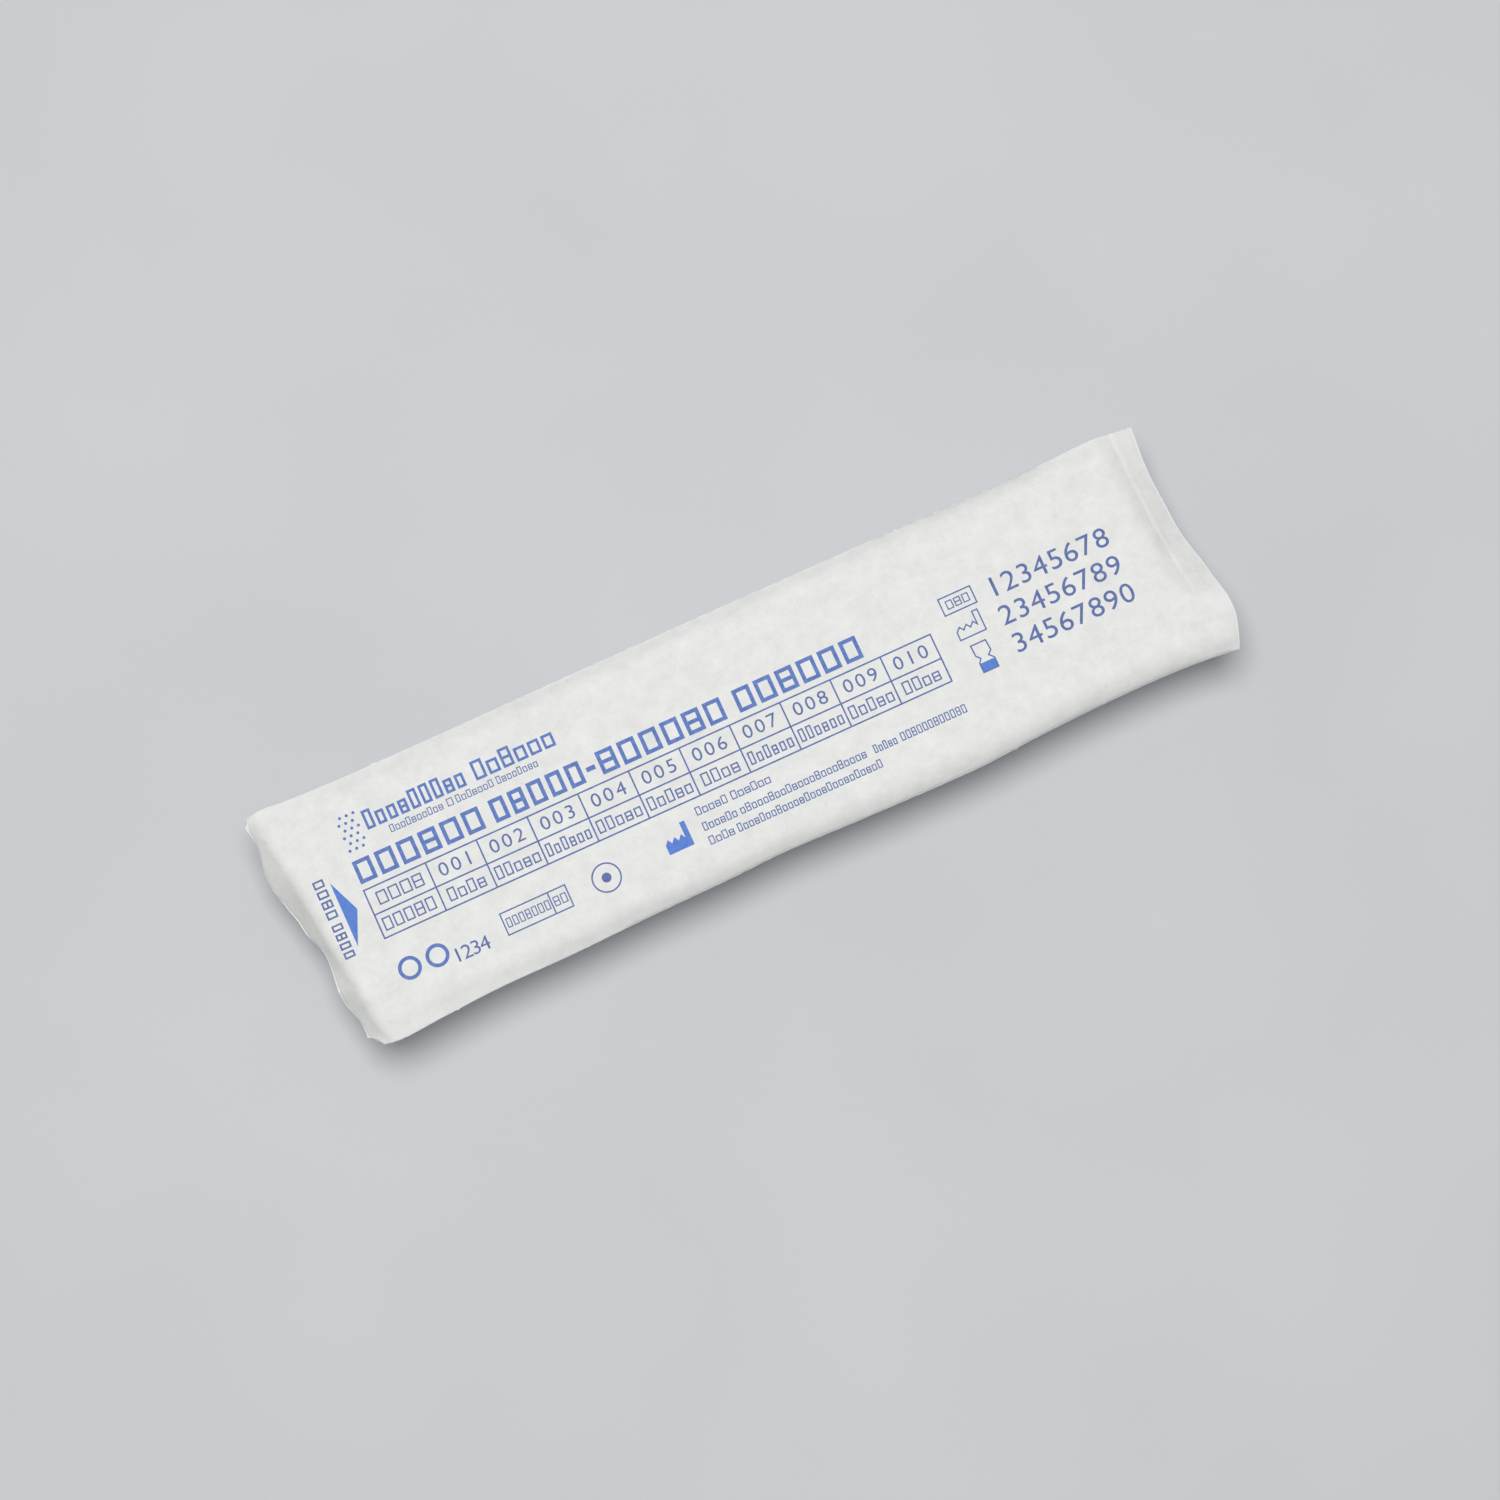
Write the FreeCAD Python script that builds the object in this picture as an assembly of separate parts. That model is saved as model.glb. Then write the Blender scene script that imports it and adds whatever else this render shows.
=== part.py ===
import FreeCAD, Part
import math
import os

# Sealed peel pack for one capped needle: a paper web heat-sealed on a formed film web.
# It is one closed solid, because nothing opens it and nothing shows through it.
# Origin at the middle of the pocket floor, +X along the print, +Z out of the paper face.

# Overall size, in millimetres
pack_length = 120.0
pack_width = 31.6
face_height = 12.6

# The two webs, and the gap where they are left unsealed at the peel end
paper_thickness = 0.13
film_thickness = 0.19
lip_gap = 0.26
lip_root_gap = 0.06
lip_past_curl = 1.9

# Bends of the four edges: how far in from each edge they reach, and how tight they are
roll_band = 3.1
roll_radius = 3.6
curl_band = 4.25
curl_radius = 2.1
curl_line_lean = 7.0
flap_radius = 3.8

# Heat-seal line across the far end: a shallow groove with a low ridge beside it, and the
# band before it where the flap starts to bend
seal_line_inset = 1.42
seal_line_lean = 3.4
seal_line_bow = 0.6
seal_band = 2.7
seal_groove_depth = 0.11
seal_ridge_height = 0.05
seal_groove_width = 0.9
seal_fade_share = -0.62
seal_fade_run = 0.3

# Slack of the paper over the pocket
lid_sag = 0.13

# Film pocket under the paper: the sealed flange left round its mouth, and its walls
end_flange = 11.0
side_flange = 5.3
wall_slope = 14.0
pocket_corner_radius = 5.0
floor_corner_clearance = 1.6
mouth_flare = 0.9
mouth_slope = 45.0
mouth_overlap = 0.12

# Edge shapes read along each edge, from -1 to 1 of half the pack:
# share of the half length or width, how far the edge stands out, and its bend in degrees
FRONT_EDGE = [
    (-1.00, 0.30, 10.0),
    (-0.90, 0.92, 12.0),
    (-0.67, 0.14, 26.0),
    (-0.33, 0.14, 42.0),
    (-0.15, 0.12, 47.0),
    (-0.02, -1.00, 50.0),
    (0.17, -0.16, 50.0),
    (0.42, 0.20, 50.0),
    (0.70, -1.08, 60.0),
    (0.86, -0.98, 60.0),
    (1.02, 0.04, 36.0),
]
BACK_EDGE = [
    (-1.00, 0.18, 8.0),
    (-0.92, 0.22, 9.0),
    (-0.75, 0.06, 28.0),
    (0.00, 0.18, 36.0),
    (0.42, 0.12, 40.0),
    (0.74, -0.40, 48.0),
    (0.92, 0.16, 14.0),
    (1.01, -0.45, 6.0),
]
PEEL_EDGE = [
    (-1.00, -5.10, 26.0),
    (-0.94, -2.90, 42.0),
    (-0.76, -2.84, 56.0),
    (-0.51, -1.62, 48.0),
    (-0.22, -2.58, 63.0),
    (0.00, -1.04, 60.0),
    (0.25, -0.04, 57.0),
    (0.52, 1.10, 48.0),
    (0.77, 0.20, 50.0),
    (1.00, 0.52, 30.0),
]
FLAP_EDGE = [
    (-1.00, 1.20, 34.0),
    (-0.87, 2.06, 27.0),
    (-0.73, 2.66, 12.0),
    (-0.60, 2.72, 6.0),
    (-0.47, 2.56, 13.0),
    (-0.22, 1.86, 25.0),
    (0.05, 1.00, 31.0),
    (0.35, 0.84, 32.0),
    (0.65, 0.64, 29.0),
    (1.00, 1.14, 20.0),
]

# Where the surface has control points: shares of the roll, of the lip, of the seal band's
# half and of the flap, with evenly spread ones between them
ROLL_STEPS = [0.0, 0.22, 0.62, 1.2]
LIP_STEPS = [0.0, 0.14, 0.30, 0.50, 0.74, 1.0, 1.3]
SEAL_STEPS = [-2.2, -1.3, -0.8, -0.5, -0.25, 0.0, 0.25, 0.6]
FLAP_STEPS = [0.4, 0.76, 1.0]
inner_columns = 3
inner_rows = 7
surface_degree = 3
past_edge = 0.3
joining_tolerance = 0.0002

half_length = pack_length / 2
half_width = pack_width / 2
web_thickness = paper_thickness + film_thickness
pocket_length = pack_length - 2 * end_flange
pocket_width = pack_width - 2 * side_flange
neck_height = face_height - mouth_flare
floor_edge_radius = pocket_corner_radius - floor_corner_clearance


def edge_value(points, share, column):
    # Smooth value between hand-set points: a cubic with the mean slope at each point
    low = 0
    while low < len(points) - 2 and share > points[low + 1][0]:
        low += 1
    start = points[low]
    end = points[low + 1]
    before = points[max(low - 1, 0)]
    after = points[min(low + 2, len(points) - 1)]
    span = end[0] - start[0]
    start_slope = (end[column] - before[column]) / (end[0] - before[0])
    end_slope = (after[column] - start[column]) / (after[0] - start[0])
    t = min(max((share - start[0]) / span, 0.0), 1.0)
    value = (2 * t ** 3 - 3 * t ** 2 + 1) * start[column]
    value += (t ** 3 - 2 * t ** 2 + t) * span * start_slope
    value += (3 * t ** 2 - 2 * t ** 3) * end[column]
    value += (t ** 3 - t ** 2) * span * end_slope
    return value


def bend_drop(reach, radius, degrees):
    # Height lost past a bend line: an arc up to the given slope, then a straight run
    if reach <= 0.0:
        return 0.0
    slope = math.radians(degrees)
    arc_reach = radius * math.sin(slope)
    if reach < arc_reach:
        return radius - math.sqrt(radius ** 2 - reach ** 2)
    return radius * (1 - math.cos(slope)) + (reach - arc_reach) * math.tan(slope)


def ease(share):
    # Smooth step from 0 to 1
    t = min(max(share, 0.0), 1.0)
    return t * t * (3 - 2 * t)


def front_y(x):
    return -half_width - edge_value(FRONT_EDGE, x / half_length, 1)


def back_y(x):
    return half_width + edge_value(BACK_EDGE, x / half_length, 1)


def peel_x(share):
    return -half_length - edge_value(PEEL_EDGE, share, 1)


def flap_x(share):
    return half_length + edge_value(FLAP_EDGE, share, 1)


def curl_line(share):
    # Straight, slightly skewed line where the peel end starts to curl
    return curl_band - half_length - math.tan(math.radians(curl_line_lean)) * share * half_width


def seal_line(share):
    # Skewed line of the heat seal, slightly bowed towards the flap
    skew = math.tan(math.radians(seal_line_lean)) * share * half_width
    return half_length - seal_line_inset - skew + seal_line_bow * share ** 2


def row_places(share):
    # Places along the pack of the control points, at one share of its width
    edge = peel_x(share)
    seal = seal_line(share)
    flap = flap_x(share)
    lip_end = curl_line(share) + lip_past_curl
    places = [edge + step * (lip_end - edge) for step in LIP_STEPS]
    first = places[-1]
    last = seal + SEAL_STEPS[0] * seal_band / 2
    for row in range(1, inner_rows):
        places.append(first + (last - first) * row / inner_rows)
    places += [seal + step * seal_band / 2 for step in SEAL_STEPS]
    first = places[-1]
    places += [first + step * (flap - first) for step in FLAP_STEPS]
    return places


def column_places():
    # Distances from the nearer long edge, up to the middle of the pack
    places = [step * roll_band for step in ROLL_STEPS]
    first = places[-1]
    for column in range(1, inner_columns + 1):
        places.append(first + (half_width - first) * column / inner_columns)
    return places


def seal_share(share):
    # How much of the seal shows at one share of the width: it fades towards the front edge
    return ease((share - seal_fade_share) / seal_fade_run)


def flap_start(share):
    # Where the flap starts to bend: before the seal line as far as the seal shows
    return seal_line(share) - seal_band * seal_share(share)


def seal_height(x, share):
    # Groove of the seal line, and the low ridge beside it
    from_line = x - seal_line(share)
    groove = math.exp(-((from_line + seal_groove_width / 2) / (seal_groove_width / 2)) ** 2)
    ridge = math.exp(-((from_line - seal_groove_width / 4) / (seal_groove_width / 2)) ** 2)
    return seal_share(share) * (seal_ridge_height * ridge - seal_groove_depth * groove)


def sag_height(x, y):
    # Slack of the paper, largest in the middle of the pocket
    along = min(abs(x) / (pocket_length / 2), 1.0)
    across = min(abs(y) / (pocket_width / 2), 1.0)
    return -lid_sag * (1 - ease(along)) * (1 - ease(across))


def face_point(x, y, share):
    # Point of the paper face at one place in plan
    along = x / half_length
    front_reach = roll_band - (y - front_y(x))
    back_reach = roll_band - (back_y(x) - y)
    drop = bend_drop(front_reach, roll_radius, edge_value(FRONT_EDGE, along, 2))
    drop += bend_drop(back_reach, roll_radius, edge_value(BACK_EDGE, along, 2))
    drop += bend_drop(curl_line(share) - x, curl_radius, edge_value(PEEL_EDGE, share, 2))
    drop += bend_drop(x - flap_start(share), flap_radius, edge_value(FLAP_EDGE, share, 2))
    height = face_height - drop + seal_height(x, share) + sag_height(x, y)
    return FreeCAD.Vector(x, y, height)


def face_points():
    # Rows of points from the peel end to the flap, each from the front edge to the back edge
    distances = column_places()
    columns = []
    for distance in distances:
        share = -1 + distance / half_width
        places = [(x, front_y(x) + distance) for x in row_places(share)]
        columns.append([face_point(x, y, share) for x, y in places])
    for distance in reversed(distances[:-1]):
        share = 1 - distance / half_width
        places = [(x, back_y(x) - distance) for x in row_places(share)]
        columns.append([face_point(x, y, share) for x, y in places])
    return [list(row) for row in zip(*columns)]


def face_normals(points):
    # Unit normals of the point grid, from the neighbours of each point
    normals = []
    for row in range(len(points)):
        line = []
        for column in range(len(points[0])):
            ahead = points[min(row + 1, len(points) - 1)][column]
            behind = points[max(row - 1, 0)][column]
            back = points[row][min(column + 1, len(points[0]) - 1)]
            front = points[row][max(column - 1, 0)]
            normal = (ahead - behind).cross(back - front)
            line.append(normal.normalize())
        normals.append(line)
    return normals


def lip_openings(points):
    # Gap between the webs at each point: widest at the cut edge, closed past the lip
    end_row = lip_end_row()
    openings = []
    for index, row in enumerate(points):
        if index > end_row:
            openings.append([0.0] * len(row))
            continue
        line = []
        for first, point, last in zip(points[0], row, points[end_row]):
            reach = (point.x - first.x) / (last.x - first.x)
            line.append(lip_root_gap + (lip_gap - lip_root_gap) * (1 - ease(reach)))
        openings.append(line)
    return openings


def lip_end_row():
    # The row of points where the two webs meet behind the lips
    return LIP_STEPS.index(1.0)


def even_knots(point_count):
    # Evenly numbered knots and how often each counts, so that both ends are met
    spans = point_count - surface_degree
    knots = [float(knot) for knot in range(spans + 1)]
    counts = [surface_degree + 1] + [1] * (spans - 1) + [surface_degree + 1]
    return knots, counts


def spline_face(points):
    # Smooth face whose control points are the given grid
    along, along_counts = even_knots(len(points))
    across, across_counts = even_knots(len(points[0]))
    surface = Part.BSplineSurface()
    surface.buildFromPolesMultsKnots(
        points, along_counts, across_counts, along, across, False, False,
        surface_degree, surface_degree,
    )
    return surface


def rim(surface):
    # The four border curves of a face, in order round it
    u_start, u_end, v_start, v_end = surface.bounds()
    return [
        surface.vIso(v_start),
        surface.uIso(u_end),
        surface.vIso(v_end),
        surface.uIso(u_start),
    ]


def solid_between(upper, lower):
    # Closed solid between two smooth faces, with straight cut edges
    faces = [upper.toShape(), lower.toShape()]
    for high, low in zip(rim(upper), rim(lower)):
        faces.append(Part.makeRuledSurface(high.toShape(), low.toShape()))
    shell = Part.Shell(faces)
    shell.sewShape()
    solid = Part.Solid(shell)
    if solid.Volume < 0:
        solid.reverse()
    return solid


def moved_in(points, normals, depths):
    # The point grid moved into the pack by a depth of its own at each point
    grid = []
    for row, normal_row, depth_row in zip(points, normals, depths):
        grid.append([p - n * d for p, n, d in zip(row, normal_row, depth_row)])
    return grid


def pushed_out(grid):
    # The grid with its outermost points moved outward at the long edges and the peel end
    wide = []
    for row in grid:
        first = row[0] + (row[0] - row[1]).normalize() * past_edge
        last = row[-1] + (row[-1] - row[-2]).normalize() * past_edge
        wide.append([first] + row[1:-1] + [last])
    outer = [a + (a - b).normalize() * past_edge for a, b in zip(wide[0], wide[1])]
    return [outer] + wide[1:]


def peel_slot(points, normals, openings):
    # Thin space between the paper lip and the film lip, up to the knot of the lip's last row
    end_knot = lip_end_row() - (surface_degree - 1) / 2
    upper_depths = [[paper_thickness] * len(row) for row in points]
    lower_depths = [[paper_thickness + max(gap, lip_root_gap) for gap in row] for row in openings]
    faces = []
    for depths in (upper_depths, lower_depths):
        face = spline_face(pushed_out(moved_in(points, normals, depths)))
        u_start, u_end, v_start, v_end = face.bounds()
        face.segment(u_start, end_knot, v_start, v_end)
        faces.append(face)
    return solid_between(faces[0], faces[1])


def sloped_block(length, width, bottom, top, slope):
    # Block with four sloping walls: length and width are its size at the bottom
    grow = (top - bottom) * math.tan(math.radians(slope))
    walls = []
    for size, other, turn in ((length, width, 0), (width, length, 90)):
        profile = Part.makePolygon([
            FreeCAD.Vector(-size / 2, 0, bottom),
            FreeCAD.Vector(size / 2, 0, bottom),
            FreeCAD.Vector(size / 2 + grow, 0, top),
            FreeCAD.Vector(-size / 2 - grow, 0, top),
            FreeCAD.Vector(-size / 2, 0, bottom),
        ])
        depth = other + 2 * abs(grow) + pocket_width
        wall = Part.Face(profile).extrude(FreeCAD.Vector(0, depth, 0))
        wall.translate(FreeCAD.Vector(0, -depth / 2, 0))
        wall.rotate(FreeCAD.Vector(0, 0, 0), FreeCAD.Vector(0, 0, 1), turn)
        walls.append(wall)
    return walls[0].common(walls[1])


def with_round_corners(block, radius):
    # The block with its four upright corner edges rounded
    limit = min(block.BoundBox.ZLength, radius)
    upright = [edge for edge in block.Edges if edge.BoundBox.ZLength > limit / 2]
    return block.makeFillet(radius, upright)


def film_pocket():
    # Formed pocket: sloping walls, round corners, a round floor edge and a flared mouth
    shrink = 2 * neck_height * math.tan(math.radians(wall_slope))
    floor_length = pocket_length - shrink
    floor_width = pocket_width - shrink
    body = sloped_block(floor_length, floor_width, 0.0, neck_height, wall_slope)
    body = with_round_corners(body, pocket_corner_radius)
    floor_edges = [edge for edge in body.Edges if edge.BoundBox.ZMax < neck_height / 2]
    body = body.makeFillet(floor_edge_radius, floor_edges)
    top = face_height - web_thickness + mouth_overlap
    mouth = sloped_block(pocket_length, pocket_width, neck_height, top, mouth_slope)
    mouth = with_round_corners(mouth, pocket_corner_radius)
    return body.fuse(mouth)


def peel_pack():
    # Both webs with their lips, and the pocket closed under the paper
    points = face_points()
    normals = face_normals(points)
    openings = lip_openings(points)
    under_depths = [[web_thickness + gap for gap in row] for row in openings]
    webs = solid_between(spline_face(points), spline_face(moved_in(points, normals, under_depths)))
    webs = webs.cut(peel_slot(points, normals, openings))
    return webs.fuse(film_pocket(), joining_tolerance).removeSplitter()


def write_parts():
    os.makedirs("parts", exist_ok=True)
    shape = peel_pack()
    shape.exportStep("parts/sealed_peel_pack.step")
    box = shape.optimalBoundingBox(True, False)
    print("solids", len(shape.Solids), "valid", shape.isValid(), "volume", round(shape.Volume, 1))
    print("box", [round(v, 2) for v in (box.XMin, box.YMin, box.ZMin, box.XMax, box.YMax, box.ZMax)])


write_parts()
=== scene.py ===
"""A sealed needle peel pack, dressed: paper lid, formed film web and the blue print on the lid.

Lengths are in millimetres in the pack's own frame, with the origin at the middle of the pocket
floor, +X along the print and +Z out of the paper face. Meshes are made in metres.
"""

import logging
import math
from collections.abc import Callable, Sequence
from dataclasses import dataclass, field
from enum import Enum
from functools import cache

import bpy
import mathutils
import numpy as np
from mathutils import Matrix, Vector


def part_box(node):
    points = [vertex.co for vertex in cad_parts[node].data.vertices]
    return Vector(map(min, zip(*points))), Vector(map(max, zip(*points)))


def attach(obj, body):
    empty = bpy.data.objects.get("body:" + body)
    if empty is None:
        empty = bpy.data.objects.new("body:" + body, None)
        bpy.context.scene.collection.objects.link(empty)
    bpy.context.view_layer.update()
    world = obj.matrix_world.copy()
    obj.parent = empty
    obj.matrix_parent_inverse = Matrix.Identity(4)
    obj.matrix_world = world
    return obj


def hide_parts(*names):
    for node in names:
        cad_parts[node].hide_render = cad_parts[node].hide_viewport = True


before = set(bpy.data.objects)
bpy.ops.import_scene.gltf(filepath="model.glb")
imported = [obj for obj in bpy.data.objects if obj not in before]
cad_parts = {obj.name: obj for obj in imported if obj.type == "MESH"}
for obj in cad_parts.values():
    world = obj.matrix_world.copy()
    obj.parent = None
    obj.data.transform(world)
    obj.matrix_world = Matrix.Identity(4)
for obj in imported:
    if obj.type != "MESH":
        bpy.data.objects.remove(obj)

Array = np.ndarray
Point = tuple[float, float]
Colour = tuple[float, float, float]
EdgePoint = tuple[float, float, float]
Mark = tuple[float, float, float]
Wave = tuple[float, float, float, float]
Node = bpy.types.Node
NodeTree = bpy.types.NodeTree
Socket = bpy.types.NodeSocket
Material = bpy.types.Material
Piece = bpy.types.Object

NODE = "sealed_peel_pack"
BODY = "root"
METRES_PER_MM = 0.001
FULL_TURN, QUARTER_TURN, EIGHTH_TURN = 360.0, 90.0, 45.0
WHITE = (1.0, 1.0, 1.0, 1.0)
# Numbers of the colour sockets on a mix node.
MIX_FIRST_COLOUR, MIX_SECOND_COLOUR, MIX_RESULT_COLOUR = 6, 7, 2
log = logging.getLogger("peel_pack")


class Slot(Enum):
    """Material slots of the record."""

    PAPER = "paper"
    FILM = "film"
    INK = "ink"


class Reading(Enum):
    """Which way a line of print reads on the lid."""

    ALONG = "along"
    UPWARD = "upward"


def linear(colour: Colour) -> tuple[float, float, float, float]:
    """Turn a display colour of 0 to 255 into the shader's linear colour.

    Args:
        colour: red, green and blue as they show on a display.

    Returns:
        Linear red, green, blue and a full alpha.
    """
    shares = [channel / 255 for channel in colour]
    values = [s / 12.92 if s <= 0.04045 else ((s + 0.055) / 1.055) ** 2.4 for s in shares]
    return (values[0], values[1], values[2], 1.0)


def ease(share: Array) -> Array:
    """Smooth step from 0 to 1.

    Args:
        share: how far along the step each value is.

    Returns:
        The eased values, held at 0 and 1 outside the step.
    """
    t = np.clip(share, 0.0, 1.0)
    return t * t * (3 - 2 * t)


def bend_drop(reach: Array, radius: float, degrees: Array) -> Array:
    """Height lost past a bend line: an arc up to the given slope, then a straight run.

    Args:
        reach: distance past the bend line, in plan.
        radius: radius of the arc.
        degrees: slope at which the arc ends.

    Returns:
        The drop at each place, zero before the bend line.
    """
    slope = np.radians(degrees)
    arc_reach = radius * np.sin(slope)
    inside = np.clip(reach, 0.0, arc_reach)
    arc_drop = radius - np.sqrt(radius**2 - inside**2)
    return arc_drop + np.clip(reach - arc_reach, 0.0, None) * np.tan(slope)


def bumps(places: Array, marks: Sequence[Mark]) -> Array:
    """Sum of smooth bumps along a line.

    Args:
        places: places along the line.
        marks: place, height and half width of each bump.

    Returns:
        The height of all the bumps together at each place.
    """
    total = np.zeros_like(places)
    for middle, height, half_width in marks:
        total = total + height * np.exp(-(((places - middle) / half_width) ** 2))
    return total


def low_waves(x: Array, y: Array, waves: Sequence[Wave]) -> Array:
    """Sum of straight waves over the plan.

    Args:
        x: places along the pack.
        y: places across it.
        waves: height, length, heading and start of each wave, both angles in radians.

    Returns:
        The height of all the waves together at each place.
    """
    total = np.zeros_like(x)
    for height, length, heading, start in waves:
        run = x * math.cos(heading) + y * math.sin(heading)
        total = total + height * np.sin(2 * math.pi * run / length + start)
    return total


@dataclass(frozen=True)
class EdgeShape:
    """One cut edge: share along it, how far it stands out, and its bend in degrees."""

    points: tuple[EdgePoint, ...]

    def between(self, share: Array, column: int) -> Array:
        """Smooth values between the listed points.

        Args:
            share: places along the edge.
            column: which value of the points is read.

        Returns:
            A cubic through the points with the mean slope at each of them.
        """
        places = np.array([point[0] for point in self.points])
        values = np.array([point[column] for point in self.points])
        before = np.maximum(np.arange(len(places)) - 1, 0)
        after = np.minimum(np.arange(len(places)) + 1, len(places) - 1)
        slopes = (values[after] - values[before]) / (places[after] - places[before])
        low = np.clip(np.searchsorted(places, share) - 1, 0, len(places) - 2)
        span = places[low + 1] - places[low]
        t = np.clip((share - places[low]) / span, 0.0, 1.0)
        value = (2 * t**3 - 3 * t**2 + 1) * values[low]
        value = value + (t**3 - 2 * t**2 + t) * span * slopes[low]
        value = value + (3 * t**2 - 2 * t**3) * values[low + 1]
        return value + (t**3 - t**2) * span * slopes[low + 1]

    def stand_out(self, share: Array) -> Array:
        """How far the edge stands out past the plain size at each share."""
        return self.between(share, 1)

    def bend(self, share: Array) -> Array:
        """Bend of the edge in degrees at each share."""
        return self.between(share, 2)


FRONT_EDGE = EdgeShape((
    (-1.00, 0.40, 10.0), (-0.96, 0.25, 11.0), (-0.90, 1.00, 12.0), (-0.80, 0.65, 18.0),
    (-0.67, 0.20, 26.0), (-0.50, 0.15, 35.0), (-0.33, -0.15, 42.0), (-0.15, -0.30, 47.0),
    (-0.02, -0.55, 50.0), (0.17, -0.25, 50.0), (0.42, -0.05, 50.0), (0.55, -0.50, 54.0),
    (0.70, -0.85, 60.0), (0.86, -0.85, 60.0), (0.94, -0.60, 50.0), (1.02, -0.05, 36.0),
))
BACK_EDGE = EdgeShape((
    (-1.00, 0.25, 8.0), (-0.96, 0.45, 8.0), (-0.92, 0.20, 9.0), (-0.75, 0.05, 28.0),
    (0.00, 0.10, 36.0), (0.42, 0.00, 40.0), (0.74, -0.15, 48.0), (0.92, 0.00, 14.0),
    (1.01, -0.30, 6.0),
))
PEEL_EDGE = EdgeShape((
    (-1.00, -4.40, 26.0), (-0.965, -3.85, 36.0), (-0.945, -3.50, 40.0), (-0.92, -2.75, 45.0),
    (-0.90, -2.80, 48.0), (-0.76, -2.65, 56.0), (-0.63, -2.00, 52.0), (-0.51, -1.85, 48.0),
    (-0.22, -2.10, 63.0), (-0.11, -1.70, 62.0), (0.00, -1.00, 60.0), (0.13, -0.65, 59.0),
    (0.25, -0.10, 57.0), (0.52, 0.80, 48.0), (0.77, 0.10, 50.0), (0.90, 0.25, 40.0),
    (1.00, 0.05, 30.0),
))
FLAP_EDGE = EdgeShape((
    (-1.00, 1.10, 34.0), (-0.87, 1.80, 27.0), (-0.73, 2.40, 12.0), (-0.60, 2.45, 6.0),
    (-0.47, 2.30, 13.0), (-0.22, 1.85, 25.0), (0.05, 1.00, 31.0), (0.35, 0.75, 32.0),
    (0.65, 0.60, 29.0), (1.00, 1.00, 20.0),
))


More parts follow.
